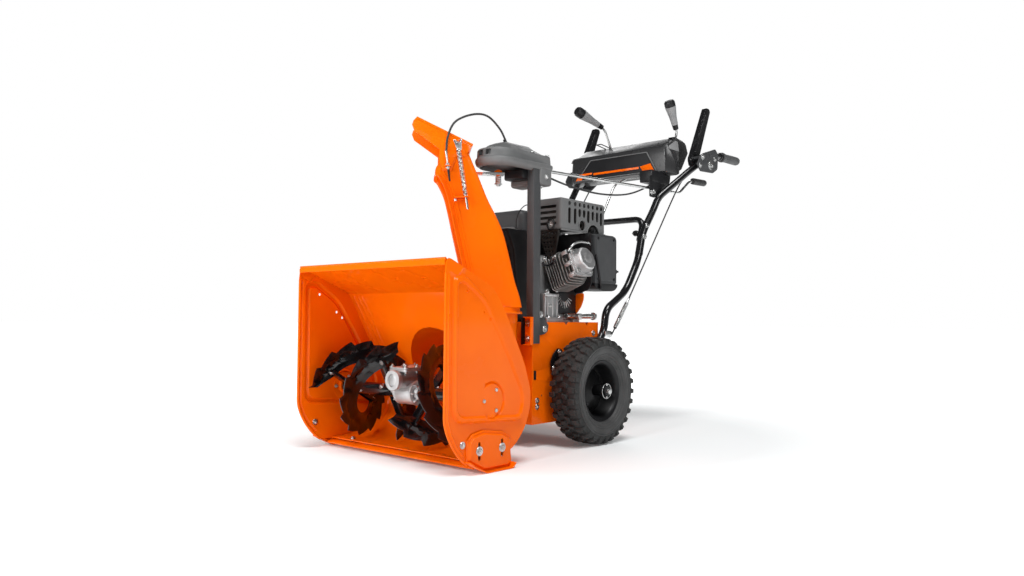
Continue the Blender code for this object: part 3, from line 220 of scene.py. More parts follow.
def evaluated(obj, angle=35):
    """The object as its modifiers or its bevel leave it, as a plain mesh."""
    builder = bmesh.new()
    mesh = bpy.data.meshes.new_from_object(obj.evaluated_get(bpy.context.evaluated_depsgraph_get()))
    builder.from_mesh(mesh)
    bpy.data.meshes.remove(mesh)
    bmesh.ops.remove_doubles(builder, verts=builder.verts, dist=1e-6)
    removed(obj)
    return from_bmesh(builder, angle)


def thickened(obj, thickness):
    """An open surface given a thickness, half on each side."""
    step = obj.modifiers.new("wall", "SOLIDIFY")
    step.thickness = thickness
    step.offset = 0
    return evaluated(obj)


def softened(obj, width, segments=2):
    """Rounds the edges of a piece."""
    step = obj.modifiers.new("round", "BEVEL")
    step.width = width
    step.segments = segments
    step.limit_method = "ANGLE"
    step.angle_limit = radians(35)
    step.use_clamp_overlap = True
    return evaluated(obj, 40)


def moved(obj, matrix):
    obj.data.transform(matrix)
    return obj


def joined(*objs):
    """One mesh object from several, without joining their surfaces."""
    builder = bmesh.new()
    for obj in objs:
        builder.from_mesh(obj.data)
    mesh = bpy.data.meshes.new("piece")
    builder.to_mesh(mesh)
    builder.free()
    mesh.set_sharp_from_angle(angle=radians(38))
    removed(*objs)
    return linked(mesh)


def cut(base, *others):
    """The base with the others taken out of it."""
    for other in others:
        step = base.modifiers.new("cut", "BOOLEAN")
        step.operation = "DIFFERENCE"
        step.object = other
        base = evaluated(base)
        removed(other)
    return base


def lofted(rows, angle, triangles=False):
    """A closed solid through rings of points, capped at both ends."""
    builder = bmesh.new()
    rows = [[builder.verts.new(point) for point in row] for row in rows]
    count = len(rows[0])
    for one, two in zip(rows, rows[1:]):
        for k in range(count):
            builder.faces.new((one[k], one[(k + 1) % count], two[(k + 1) % count], two[k]))
    builder.faces.new(rows[0])
    builder.faces.new(rows[-1])
    if triangles:
        bmesh.ops.triangulate(builder, faces=[face for face in builder.faces if len(face.verts) > 4])
    return from_bmesh(builder, angle)


def box(low, high, bevel=0.0, segments=2):
    low, high = Vector(low), Vector(high)
    builder = bmesh.new()
    bmesh.ops.create_cube(builder, size=1.0)
    for vert in builder.verts:
        vert.co = Vector([(low[k] + high[k]) / 2 + vert.co[k] * (high[k] - low[k]) for k in range(3)])
    if bevel:
        bmesh.ops.bevel(builder, geom=builder.edges[:], offset=bevel, segments=segments, profile=0.5,
                        affect="EDGES")
    return from_bmesh(builder)


def turning(axis):
    """Turns the Z axis to an axis."""
    return Z.rotation_difference(Vector(axis)).to_matrix().to_4x4()


def lathe(profile, centre, axis, sides=48, angle=35):
    """A closed or axis-to-axis profile of (radius, height) turned about an axis."""
    builder = bmesh.new()
    rings = []
    for radius, height in profile:
        if radius < 1e-7:
            rings.append([builder.verts.new((0, 0, height))])
            continue
        rings.append([builder.verts.new((*point, height)) for point in circle(0, 0, radius, sides)])
    closing = len(rings[0]) > 1 and len(rings[-1]) > 1
    for one, two in zip(rings, rings[1:] + (rings[:1] if closing else [])):
        for k in range(sides):
            corners = [one[k % len(one)], one[(k + 1) % len(one)], two[(k + 1) % len(two)], two[k % len(two)]]
            corners = [v for i, v in enumerate(corners) if v not in corners[:i]]
            if len(corners) > 2:
                builder.faces.new(corners)
    return moved(from_bmesh(builder, angle), Matrix.Translation(centre) @ turning(axis))


def bar(start, end, radius, sides=24, bevel=0.0006):
    """A round bar with small chamfers at its ends."""
    length = (Vector(end) - Vector(start)).length
    b = min(bevel, radius / 2, length / 3)
    profile = [(0, 0), (radius - b, 0), (radius, b), (radius, length - b), (radius - b, length), (0, length)]
    return lathe(profile, start, Vector(end) - Vector(start), sides)


def tube(path, radius, resolution=6, closed=False):
    """A round wire or pipe along a path."""
    curve = bpy.data.curves.new("bar", "CURVE")
    curve.dimensions = "3D"
    curve.bevel_depth = radius
    curve.bevel_resolution = resolution
    curve.use_fill_caps = not closed
    spline = curve.splines.new("POLY")
    spline.points.add(len(path) - 1)
    for point, place in zip(spline.points, path):
        point.co = (*place, 1.0)
    spline.use_cyclic_u = closed
    return evaluated(linked(curve))


def rounded(points, radius, steps=6):
    """A route with each corner turned through an arc of about the radius."""
    points = [Vector(p) for p in points]
    route = [points[0]]
    for before, corner, after in zip(points, points[1:], points[2:]):
        one, two = before - corner, after - corner
        reach = min(radius, one.length * 0.48, two.length * 0.48)
        start, end = corner + one.normalized() * reach, corner + two.normalized() * reach
        for i in range(steps + 1):
            t = i / steps
            route.append(start * (1 - t) ** 2 + corner * 2 * t * (1 - t) + end * t ** 2)
    route.append(points[-1])
    return route


def smooth_route(points, steps):
    """A Catmull-Rom curve through the points."""
    points = [Vector(p) for p in points]
    points = [2 * points[0] - points[1]] + points + [2 * points[-1] - points[-2]]
    route = []
    for a, b, c, d in zip(points, points[1:], points[2:], points[3:]):
        for i in range(steps):
            t = i / steps
            route.append(0.5 * (2 * b + (c - a) * t + (2 * a - 5 * b + 4 * c - d) * t * t
                                + (3 * b - a - 3 * c + d) * t ** 3))
    route.append(points[-2])
    return route


def coil(start, end, radius, wire, turns, per_turn=14, resolution=2):
    """A coil spring between two points."""
    axis = Vector(end) - Vector(start)
    turn = turning(axis)
    path = []
    for i in range(int(turns * per_turn) + 1):
        angle = TAU * i / per_turn
        local = Vector((radius * cos(angle), radius * sin(angle), axis.length * i / (turns * per_turn)))
        path.append(Vector(start) + turn @ local)
    return tube(path, wire, resolution)


PLANE_YZ = Matrix(((0, 0, 1, 0), (1, 0, 0, 0), (0, 1, 0, 0), (0, 0, 0, 1)))
PLANE_XZ = Matrix(((1, 0, 0, 0), (0, 0, -1, 0), (0, 1, 0, 0), (0, 0, 0, 1)))
PLANE_XY = Matrix.Identity(4)


def rectangle(u0, v0, u1, v1):
    return [(u0, v0), (u1, v0), (u1, v1), (u0, v1)]


def circle(u, v, radius, sides=24):
    return arc(u, v, radius, 0, 360, sides)[:-1]


def slot(u, v, length, width, steps=6):
    """A slot upright in v, with round ends."""
    reach = (length - width) / 2
    return arc(u, v + reach, width / 2, 0, 180, steps) + arc(u, v - reach, width / 2, 180, 360, steps)


def arc(u, v, radius, first, last, steps):
    """Points along an arc between two angles in degrees."""
    turns = [radians(first + (last - first) * k / steps) for k in range(steps + 1)]
    return [(u + radius * cos(a), v + radius * sin(a)) for a in turns]


def rounded2(points, radius, steps=5):
    """A closed outline with its corners rounded."""
    out = []
    count = len(points)
    for i in range(count):
        before, corner, after = Vector(points[i - 1]), Vector(points[i]), Vector(points[(i + 1) % count])
        one, two = before - corner, after - corner
        reach = min(radius, one.length * 0.45, two.length * 0.45)
        start, end = corner + one.normalized() * reach, corner + two.normalized() * reach
        for k in range(steps + 1):
            t = k / steps
            out.append(tuple(start * (1 - t) ** 2 + corner * 2 * t * (1 - t) + end * t ** 2))
    return out


def plate(loops, low, high, plane, bevel=0.0, segments=2):
    """Outlines filled (inner loops are holes) and given a thickness along the plane's normal."""
    curve = bpy.data.curves.new("outline", "CURVE")
    curve.dimensions = "2D"
    curve.fill_mode = "BOTH"
    curve.extrude = (high - low) / 2
    for loop in loops:
        spline = curve.splines.new("POLY")
        spline.points.add(len(loop) - 1)
        for point, (u, v) in zip(spline.points, loop):
            point.co = (u, v, 0, 1)
        spline.use_cyclic_u = True
    obj = moved(evaluated(linked(curve)), plane @ Matrix.Translation(Z * (low + high) / 2))
    return softened(obj, bevel, segments) if bevel else obj


def plate_x(loops, low, high, bevel=0.0, segments=2):
    return plate(loops, low, high, PLANE_YZ, bevel, segments)


def plate_y(loops, low, high, bevel=0.0, segments=2):
    return plate(loops, -high, -low, PLANE_XZ, bevel, segments)


def plate_z(loops, low, high, bevel=0.0, segments=2):
    return plate(loops, low, high, PLANE_XY, bevel, segments)


def inside(loop, points):
    """Which points lie in a closed outline."""
    x, y = points[:, 0], points[:, 1]
    result = np.zeros(len(points), bool)
    for (x0, y0), (x1, y1) in zip(loop, loop[1:] + loop[:1]):
        if y0 == y1:
            continue
        crosses = ((y0 > y) != (y1 > y)) & (x < (x1 - x0) * (y - y0) / (y1 - y0) + x0)
        result ^= crosses
    return result


def distance_to(route, points):
    """Distance of each point from a route, in the plane."""
    best = np.full(len(points), 9.0)
    for a, b in zip(route, route[1:]):
        a, b = np.array(a), np.array(b)
        along = b - a
        t = np.clip(((points - a) @ along) / max(along @ along, 1e-12), 0, 1)
        best = np.minimum(best, np.linalg.norm(points - (a + t[:, None] * along), axis=1))
    return best


def spaced(route, step):
    """Points along a route about a step apart."""
    out = []
    for a, b in zip(route, route[1:]):
        a, b = Vector(a), Vector(b)
        count = max(1, round((b - a).length / step))
        out += [tuple(a.lerp(b, i / count)) for i in range(count)]
    return out + [tuple(route[-1])]


def shifted(points, distance, closed=False):
    """A flat route moved sideways by a distance."""
    out = []
    last = len(points) - 1
    for k, p in enumerate(points):
        before = points[k - 1] if closed else points[max(k - 1, 0)]
        after = points[(k + 1) % len(points)] if closed else points[min(k + 1, last)]
        along = Vector(after) - Vector(before)
        out.append(tuple(Vector(p) + Vector((-along.y, along.x)).normalized() * distance))
    return out


def sheet(outline, holes, ribs, thickness, place, grid=0.012, fields=()):
    """Pressed sheet metal: an outline with holes, with raised ribs (route, half width, height) and closed raised
    fields (outline, edge width, height). place(u, v, h) puts a point of the flat pattern in space."""
    outline = [tuple(p) for p in outline]
    around = spaced(outline + outline[:1], grid)[:-1]
    loops = [around] + [list(hole) for hole in holes]
    points = [p for loop in loops for p in loop]
    edges, first = [], 0
    for loop in loops:
        edges += [(first + k, first + (k + 1) % len(loop)) for k in range(len(loop))]
        first += len(loop)

    def free(places, gap):
        """Which places are inside the sheet, clear of its edges."""
        ok = inside(around, places) & (distance_to(around + around[:1], places) > gap)
        for hole in loops[1:]:
            ok &= ~inside(hole, places) & (distance_to(hole + [hole[0]], places) > gap)
        return ok
    flat = np.array(around)
    low, high = flat.min(0), flat.max(0)
    extra = np.array([(u, v) for u in np.arange(low[0] + grid / 2, high[0], grid)
                      for v in np.arange(low[1] + grid / 2, high[1], grid)])
    keep = free(extra, 0.0012)
    lines = []
    for route, half, height in ribs:
        dense = spaced(route, max(half, 0.004))
        keep &= distance_to(dense, extra) > half + 0.002
        lines += [(shifted(dense, half * f), False) for f in (-1, -0.5, 0, 0.5, 1)]
    for loop, width, height in fields:
        dense = spaced(list(loop) + [loop[0]], 0.008)[:-1]
        keep &= distance_to(dense + dense[:1], extra) > width / 2 + 0.002
        lines += [(shifted(dense, width * f, True), True) for f in (-0.5, -0.17, 0.17, 0.5)]
    for line, closed in lines:
        ok = free(np.array(line), 0.001)
        place_in = {}
        for k, (p, good) in enumerate(zip(line, ok)):
            if good:
                place_in[k] = len(points)
                points.append(p)
        for k in place_in:
            after = (k + 1) % len(line) if closed else k + 1
            if after in place_in:
                edges.append((place_in[k], place_in[after]))
    points += [tuple(p) for p in extra[keep]]
    verts, _, faces, *_ = delaunay_2d_cdt([Vector(p) for p in points], edges, [], 1, 1e-5)
    flat = np.array([tuple(v) for v in verts])
    height = np.zeros(len(flat))
    for route, half, rise in ribs:
        d = distance_to(route, flat) / half
        height = np.where(d < 1, height + rise * (np.cos(np.clip(d, 0, 1) * pi) + 1) / 2, height)
    for loop, width, rise in fields:
        d = distance_to(list(loop) + [loop[0]], flat) / width
        signed = np.where(inside(list(loop), flat), d, -d)
        t = np.clip(signed + 0.5, 0, 1)
        height += rise * t * t * (3 - 2 * t)
    centres = np.array([flat[list(face)].mean(0) for face in faces])
    shown = inside(around, centres)
    for hole in holes:
        shown &= ~inside(list(hole), centres)
    builder = bmesh.new()
    front = [builder.verts.new(place(u, v, h)) for (u, v), h in zip(flat, height)]
    back = [builder.verts.new(place(u, v, h - thickness)) for (u, v), h in zip(flat, height)]
    made = {}
    for face, show in zip(faces, shown):
        if show:
            builder.faces.new([front[i] for i in face])
            builder.faces.new([back[i] for i in face][::-1])
            for i, j in zip(face, face[1:] + face[:1]):
                made[(i, j)] = made.get((i, j), 0) + 1
    for i, j in [key for key in made if (key[1], key[0]) not in made]:
        builder.faces.new((front[j], front[i], back[i], back[j]))
    loose = [v for v in builder.verts if not v.link_faces]
    bmesh.ops.delete(builder, geom=loose, context="VERTS")
    return from_bmesh(builder, 32)


def on_plane(plane, offset=0.0):
    def place(u, v, h):
        return plane @ Vector((u, v, offset + h))
    return place


def mirrored(obj):
    """A copy on the other side of the machine."""
    mesh = obj.data.copy()
    mesh.transform(Matrix.Scale(-1, 4, X))
    mesh.flip_normals()
    return linked(mesh)


def place(obj, name, material, stands_for=None, body=None, finish=None, across=None):
    """Names a finished piece, moves it to the row frame, and makes it ride on its body; with across set it is
    baked in place on no body:
    across is (first body, second body, start, end), of which only whether it is set is read. The body is that of
    the CAD node that it stands for, or the frame without a node. A finish is worked out from the node or the
    material but not kept."""
    row = AXLE_Y * Y
    moved(obj, Matrix.Translation(row))
    obj.name = obj.data.name = name
    obj.data.materials.clear()
    obj.data.materials.append(material)
    if across:
        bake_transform(obj)
    else:
        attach(obj, body or BODY_OF.get(stands_for, "frame"))
    if stands_for:
        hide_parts(stands_for)
    if finish is None:
        finish = SLOT_OF.get(stands_for) or USUAL_FINISH[material]
    return obj


def place_pair(obj, name, material, stands_for=None, body=None, finish=None):
    """A left piece and its mirror image. Names ending in _left and _right are formed from the stems."""
    other = mirrored(obj)
    for side, piece in (("_left", obj), ("_right", other)):
        place(piece, name + side, material, stands_for and stands_for + side, body, finish)


def copy_of(node):
    """A loose copy of a CAD node's shape in the machine's axes, welded, with flat areas merged."""
    builder = bmesh.new()
    builder.from_mesh(frame["nodes"][node].data)
    bmesh.ops.remove_doubles(builder, verts=builder.verts, dist=1e-5)
    bmesh.ops.dissolve_limit(builder, angle_limit=0.004, verts=builder.verts, edges=builder.edges)
    bmesh.ops.translate(builder, verts=builder.verts, vec=(0, -AXLE_Y, 0))
    return from_bmesh(builder)


# ---------------------------------------------------------------- fasteners

HARDWARE = {}


def gather(name, *objs, material=ZINC, body="frame", both=False):
    """Keeps small pieces of one finish on one body together, with their mirror images if both is set."""
    for obj in objs:
        HARDWARE.setdefault((body, name, material), []).extend([mirrored(obj), obj] if both else [obj])


def bolt(place_at, axis, size=0.005, length=0.0, washer=True, domed=False):
    """A flanged hex head on a washer, pointing along the axis. size is half the width across flats."""
    height = size * 0.85
    base = 0.0012 if washer else 0.0
    top = base + height

    def turned(profile, sides):
        return lathe(profile, (0, 0, 0), Z, sides)
    pieces = []
    if washer:
        pieces.append(turned([(0, 0), (size * 1.9, 0), (size * 2.0, 0.0004), (size * 1.9, base), (0, base)],
                             28))
    if domed:
        pieces.append(turned([(size * 1.35, base), (size * 1.2, base + height * 0.5),
                              (size * 0.7, base + height * 0.9),
                              (0, top)], 24))
    else:
        pieces.append(turned([(0, base), (size * 1.5, base), (size * 1.45, base + 0.0008),
                              (0, base + 0.0014)], 24))
        pieces.append(plate_z([circle(0, 0, size * 1.155, 6)], base + 0.0004, top, 0.0005))
        pieces.append(turned([(size * 0.62, top - 0.0001), (size * 0.55, top + 0.0004), (0, top + 0.0005)],
                             16))
    if length:
        pieces.append(bar((0, 0, base), (0, 0, top + length), size * 0.55, 14))
    return moved(joined(*pieces), Matrix.Translation(place_at) @ turning(axis))


# ---------------------------------------------------------------- auger housing

AUGER = (0, -0.538, 0.177)
SHELL = 0.1525
PLATE_X = 0.305
IMPELLER_Z = 0.213
DRUM = 0.148


def arc_route(route):
    """A route in Y and Z as (length along it, point, normal) lookups."""
    points = [Vector(p) for p in route]
    lengths = [0.0]
    for a, b in zip(points, points[1:]):
        lengths.append(lengths[-1] + (b - a).length)

    def at(s):
        s = min(max(s, 0.0), lengths[-1])
        k = max(i for i in range(len(points) - 1) if lengths[i] <= s + 1e-9)
        a, b = points[k], points[k + 1]
        t = (s - lengths[k]) / max((b - a).length, 1e-9)
        before = points[max(k - 1, 0)]
        after = points[min(k + 2, len(points) - 1)]
        tangent = ((b - before).normalized() * (1 - t) + (after - a).normalized() * t).normalized()
        return a.lerp(b, t), Vector((tangent.y, -tangent.x))
    return at, lengths


def make_housing():
    """The wrapped sheet: rolled lip, flat top, sloping back, round belly, with ribs beside the plates."""
    lip = [(-0.7035, 0.5135), (-0.7042, 0.523), (-0.702, 0.5288), (-0.697, 0.53)]
    back = lip + [(-0.665, 0.5165), (-0.54, 0.466), (-0.528, 0.4598), (-0.52, 0.4505), (-0.4935, 0.4075),
                  (-0.4455, 0.3225)]
    back += arc(AUGER[1], AUGER[2], SHELL, 30, -90, 26) + [(-0.58, 0.023)]
    at, lengths = arc_route(back)
    total = lengths[-1]

    def place_on(x, s, h):
        point, normal = at(s)
        out = Vector((normal.x, normal.y)) * (h - 0.0001)
        return Vector((x, point.x - out.x, point.y - out.y))

    def level(z):
        """Distance along the sheet at which the back passes a height."""
        for k in range(8, len(back) - 1):
            if back[k][1] >= z >= back[k + 1][1]:
                t = (back[k][1] - z) / max(back[k][1] - back[k + 1][1], 1e-9)
                return lengths[k] + t * (lengths[k + 1] - lengths[k])
        return total
    half = PLATE_X - 0.0005
    mouth = [(x, level(z)) for x, z in circle(0, IMPELLER_Z, DRUM, 56)]
    top = lengths[6]
    small = [(-0.2, 0.052), (-0.145, 0.042), (-0.11, 0.046), (0.02, 0.115), (0.13, 0.115), (-0.12, 0.115)]
    holes = [mouth] + [circle(x, s, 0.0042, 10) for x, s in small]
    ribs = []
    for x in (-0.283, -0.262, -0.244, 0.283, 0.262, 0.244):
        ribs.append(([(x, top + 0.012), (x, total - 0.16)], 0.0055, -0.003))
    ribs.append(([(-half, top + 0.004), (half, top + 0.004)], 0.004, 0.001))
    outline = [(-half, 0.0), (half, 0.0), (half, total), (-half, total)]
    wrap = sheet(outline, holes, ribs, 0.0028, place_on, grid=0.0095)
    place(wrap, "housing_wrap", ORANGE, "auger_housing")
    hem = bar((-half, -0.7, 0.5292), (half, -0.7, 0.5292), 0.003, 20, 0.0006)
    place(hem, "housing_hem", ORANGE)
    for k, x in enumerate((-0.228, -0.15, -0.075, 0.01, 0.085, 0.16, 0.235)):
        # Dark ovals laid on the housing floor are painted shade, standing for the shade inside slotted holes.
        oval = plate_z([[(x + u, -0.56 + v) for u, v in slot(0, 0, 0.0085, 0.024, 5)]], 0.0258, 0.0266,
                       0.0002)
        gather("floor_slots", oval, material=DARK_PLASTIC_AND_SHADE)
        if k % 6 == 0:
            gather("housing_bolts", bolt((x, -0.56, 0.0262), Z, 0.005))


def side_plate():
    """One pressed side plate, with its double rib, bearing field and turned front edge."""
    outline = [(-0.698, 0.5345), (-0.7035, 0.4925), (-0.7025, 0.134)]
    outline += [(-0.692, 0.103), (-0.673, 0.071), (-0.651, 0.045), (-0.623, 0.024)]
    outline += [(-0.545, 0.0215), (-0.458, 0.0455), (-0.427, 0.0695), (-0.4, 0.105), (-0.3865, 0.143)]
    outline += [(-0.383, 0.168), (-0.383, 0.194), (-0.4065, 0.2605), (-0.4415, 0.325), (-0.49, 0.409)]
    outline += [(-0.5305, 0.4635)]
    outline = rounded2(outline, 0.016, 3)
    holes = [circle(y, z, 0.0042, 12) for y, z in ((-0.63, 0.452), (-0.568, 0.4), (-0.547, 0.383))]
    field = rounded2([(-0.676, 0.132), (-0.678, 0.483), (-0.64, 0.49), (-0.56, 0.434), (-0.463, 0.285),
                      (-0.412, 0.196), (-0.41, 0.15), (-0.425, 0.118)], 0.034, 7)
    inner = rounded2([(-0.664, 0.144), (-0.666, 0.47), (-0.643, 0.474), (-0.568, 0.425), (-0.474, 0.279),
                      (-0.425, 0.193), (-0.423, 0.156), (-0.434, 0.13)], 0.028, 7)
    ribs = [([(-0.6935, 0.486), (-0.6935, 0.136), (-0.682, 0.104), (-0.663, 0.073), (-0.641, 0.05)], 0.0052,
             0.0045)]
    ribs.append((arc(AUGER[1], AUGER[2], 0.045, -115, 115, 22), 0.0042, -0.005))
    ribs.append(([(-0.6855, 0.498), (-0.664, 0.4885), (-0.637, 0.515)], 0.003, 0.0012))
    fields = [(field, 0.006, 0.0085), (inner, 0.0055, -0.006)]
    return sheet(outline, holes, ribs, 0.0028, on_plane(PLANE_YZ, PLATE_X + 0.0029), 0.016, fields)


def make_side_plates():
    place_pair(side_plate(), "side_plate_panel", ORANGE, "side_plate")
    lip = tube([(PLATE_X + 0.001, -0.7003 + p.x, p.y) for p in rounded([(a, b, 0) for a, b in
               [(0, 0.4925), (0, 0.134), (0.0105, 0.103), (0.0295, 0.071), (0.0515, 0.045), (0.077, 0.025)]],
                                                                       0.03)],
               0.0036, 5)
    place_pair(lip, "side_plate_edge", ORANGE)
    spots = [(AUGER[1] + 0.03 * cos(a), AUGER[2] + 0.03 * sin(a))
             for a in (radians(60), radians(180), radians(300))]
    for y, z in spots + [(-0.64, 0.075)]:
        out = bolt((PLATE_X + 0.003, y, z), X, 0.0046)
        gather("housing_bolts", out, both=True)
        nut = bolt((PLATE_X - 0.0004, y, z), (-1, 0, 0), 0.0046, length=0.002)
        gather("housing_bolts", nut, both=True)
    flange = lathe([(0.015, 0), (0.04, 0), (0.04, 0.0015), (0.0235, 0.0025), (0.0205, 0.011), (0.015, 0.011)],
                   (PLATE_X - 0.0003, AUGER[1], AUGER[2]), (-1, 0, 0), 36)
    place_pair(flange, "auger_bearing_flange", ORANGE)


def make_drum():
    """The second-stage drum with its collar and rear weld flange."""
    body = softened(copy_of("impeller_housing"), 0.0006)
    place(body, "impeller_drum", ORANGE, "impeller_housing")
    x, y = 0.1075, -0.3
    band = lathe([(0.0592, 0.372), (0.0605, 0.372), (0.0605, 0.3975), (0.0592, 0.3975)], (x, y, 0), Z, 64)
    place(band, "collar_band", ORANGE)
    weld = lathe([(DRUM - 0.001, 0), (DRUM + 0.0022, 0.0006), (DRUM - 0.001, 0.0042)],
                 (0, -0.2165, IMPELLER_Z),
                 Y, 72)
    place(weld, "drum_weld", ORANGE)


def make_scraper():
    profile = [(-0.5965, 0.0097), (-0.5965, 0.0138), (-0.583, 0.0193), (-0.546, 0.0222), (-0.546, 0.0187),
               (-0.583, 0.0157)]
    blade = plate_x([profile], -PLATE_X + 0.0005, PLATE_X - 0.0005, 0.0006)
    place(blade, "scraper", ORANGE, "scraper_blade")
    for x in (-0.22, -0.115, 0.0, 0.115, 0.22):
        slope = radians(4.5)
        axis = Vector((0, -sin(slope), cos(slope)))
        hole = slot(0, 0, 0.02, 0.0085)
        # A dark sheet in each slot's shape is painted shade standing for a slotted hole; the blade has no hole
        # there.
        dark = plate_z([[(v, u) for u, v in hole]], 0, 0.0006)
        moved(dark, Matrix.Translation((x, -0.57, 0.0207)) @ turning(axis))
        gather("scraper_slots", dark, material=DARK_PLASTIC_AND_SHADE)
        if abs(x) > 0.2:
            gather("housing_bolts", bolt((x, -0.566, 0.0214), axis, 0.0045, domed=True))


def skid_shoe():
    """A dished shoe with a turned upper lip, flared sole and two upright slots."""
    x0 = PLATE_X + 0.0033
    outline = rounded2([(-0.629, 0.082), (-0.611, 0.099), (-0.572, 0.106), (-0.5, 0.096), (-0.464, 0.078),
                        (-0.466, 0.039), (-0.461, 0.013), (-0.472, 0.0014), (-0.571, 0.0014),
                        (-0.611, 0.0205),
                        (-0.631, 0.033)], 0.006, 4)
    slots = [slot(y, 0.0555, 0.046, 0.0085, 6) for y in (-0.589, -0.505)]
    ribs = [([(-0.622, 0.086), (-0.608, 0.0965), (-0.572, 0.1035), (-0.5, 0.0935), (-0.469, 0.079)], 0.0055,
             0.0045)]
    dish = shifted(outline, -0.0075, True)
    web = sheet(outline, slots, ribs, 0.0024, on_plane(PLANE_YZ, x0 + 0.0024), 0.01, [(dish, 0.006, 0.0062)])
    sole = [(-0.6315, 0.035), (-0.6115, 0.0228), (-0.5705, 0.0034), (-0.4735, 0.0034), (-0.4645, 0.015)]
    sole += [(-0.46, 0.0135), (-0.4715, 0.0), (-0.5715, 0.0), (-0.6115, 0.019), (-0.6325, 0.0315)]
    edge = plate_x([sole], x0, 0.3288, 0.0014, 3)
    return joined(web, edge)


def make_skid_shoes():
    place_pair(skid_shoe(), "skid_shoe_pressing", ORANGE, "skid_shoe")
    for y in (-0.589, -0.505):
        head = bolt((PLATE_X + 0.012, y, 0.056), X, 0.006, length=0.002)
        # A dark sheet just behind each of the shoe's slots is painted shade, seen through the slot.
        shade_behind_slot = plate_x([slot(y, 0.0555, 0.044, 0.0076, 6)], PLATE_X + 0.0066, PLATE_X + 0.0074, 0.0002)
        gather("skid_bolts", head, both=True)
        gather("skid_slots", shade_behind_slot, material=DARK_PLASTIC_AND_SHADE, both=True)


make_housing()
make_side_plates()
make_drum()
make_scraper()
make_skid_shoes()
# ---------------------------------------------------------------- augers, gear case and impeller

FLIGHT_NEAR, FLIGHT_FAR = 0.058, 0.29
FLIGHT_TWIST = TAU / 0.31


def flight_angle(x, phase):
    return phase + (x - FLIGHT_NEAR) * FLIGHT_TWIST


def ribbon(phase):
    """A helical ribbon with a saw-toothed rim and pressed ribs along its middle."""
    per_tooth, teeth, across = 7, 11, 9
    steps = per_tooth * teeth
    builder = bmesh.new()
    fronts, backs = [], []
    for i in range(steps + 1):
        t = i / steps
        x = FLIGHT_NEAR + (FLIGHT_FAR - FLIGHT_NEAR) * t
        angle = flight_angle(x, phase)
        fall = (i % per_tooth) / (per_tooth - 1)
        rim = 0.1398 - 0.0125 * fall
        end = min(t, 1 - t) * steps / 9.0
        low = 0.074 + 0.036 * max(0.0, 1 - end) ** 2
        front, back = [], []
        for k in range(across + 1):
            r = low + (rim - low) * k / across
            part = (t * 3.0) % 1.0
            reach = min(1.0, max(0.0, (0.5 - abs(part - 0.5)) * 7 - 0.6))
            h = 0.005 * reach * (cos(min(1.0, abs(r - 0.103) / 0.0085) * pi) + 1) / 2
            h += 0.0045 * sin(pi * k / across)
            for row, side in ((front, 0.0015), (back, -0.0015)):
                row.append(builder.verts.new((x + side - 0.003 + h, AUGER[1] + r * cos(angle),
                                              AUGER[2] + r * sin(angle))))
        fronts.append(front)
        backs.append(back)
    for i in range(steps):
        for k in range(across):
            builder.faces.new((fronts[i][k], fronts[i][k + 1], fronts[i + 1][k + 1], fronts[i + 1][k]))
            builder.faces.new((backs[i][k], backs[i + 1][k], backs[i + 1][k + 1], backs[i][k + 1]))
        for k in (0, across):
            builder.faces.new((fronts[i][k], fronts[i + 1][k], backs[i + 1][k], backs[i][k]))
    for i in (0, steps):
        for k in range(across):
            builder.faces.new((fronts[i][k], fronts[i][k + 1], backs[i][k + 1], backs[i][k]))
    return from_bmesh(builder, 40)


def auger_turn(x, angle):
    """Places a piece made at the origin, upright, at a distance along the shaft and turned to an angle."""
    return Matrix.Translation((x, AUGER[1], AUGER[2])) @ Matrix.Rotation(angle - pi / 2, 4, "X")


def cross_arm(x, angle):
    """A channel through the sleeve, with a foot bolted to each ribbon."""
    half = 0.0125
    pieces = []
    for sign in (-1, 1):
        web = box((-half, -0.0035, 0.012), (half, -0.001, 0.098), 0.0006)
        for side in (-1, 1):
            pieces.append(box((side * half - 0.0013, -0.0035, 0.012), (side * half + 0.0013, 0.006, 0.094),
                              0.0006))
        pieces.append(web)
        if sign < 0:
            for piece in pieces[-3:]:
                moved(piece, Matrix.Rotation(pi, 4, "X"))
    return moved(joined(*pieces), auger_turn(x, angle))


def make_auger_side(phase, side):
    x_near = FLIGHT_NEAR + 0.022
    x_far = FLIGHT_FAR - 0.026
    bore, skin = 0.013, 0.0178
    profile = [(bore, FLIGHT_NEAR + 0.004), (skin, FLIGHT_NEAR + 0.004), (skin, FLIGHT_FAR),
               (bore, FLIGHT_FAR)]
    sleeve = lathe(profile, (0, AUGER[1], AUGER[2]), X, 40)
    flights = joined(ribbon(phase), ribbon(phase + pi), sleeve,
                     cross_arm(x_near, flight_angle(x_near, phase)),
                     cross_arm(x_far, flight_angle(x_far, phase)))
    fastened = []
    for x in (x_near, x_far):
        for turn in (0, pi):
            fixing = bolt((-0.002, -0.0036, 0.09), (0, -1, 0), 0.0038)
            fastened.append(moved(fixing, auger_turn(x, flight_angle(x, phase) + turn)))
    pin_at = auger_turn(FLIGHT_NEAR + 0.052, phase + 0.9)
    fastened.append(moved(bolt((0, 0, 0.0172), Z, 0.0046), pin_at))
    fastened.append(moved(bolt((0, 0, -0.0172), (0, 0, -1), 0.0046, length=0.003), pin_at))
    nipple = lathe([(0.0033, 0), (0.0033, 0.003), (0.0016, 0.004), (0.0024, 0.006), (0.0012, 0.008),
                    (0, 0.008)],
                   (0, 0, 0.0174), Z, 16)
    fastened.append(moved(nipple, auger_turn(FLIGHT_FAR - 0.09, phase + 2.0)))
    if side < 0:
        flights, spare = mirrored(flights), flights
        bpy.data.objects.remove(spare, do_unlink=True)
        fastened, spares = [mirrored(piece) for piece in fastened], fastened
        for spare in spares:
            bpy.data.objects.remove(spare, do_unlink=True)
    name = "left" if side > 0 else "right"
    place(flights, "toothed_flight_" + name, BLACK, "auger_flight_" + name)
    for piece in fastened:
        gather("auger_fixings", piece, body="auger")


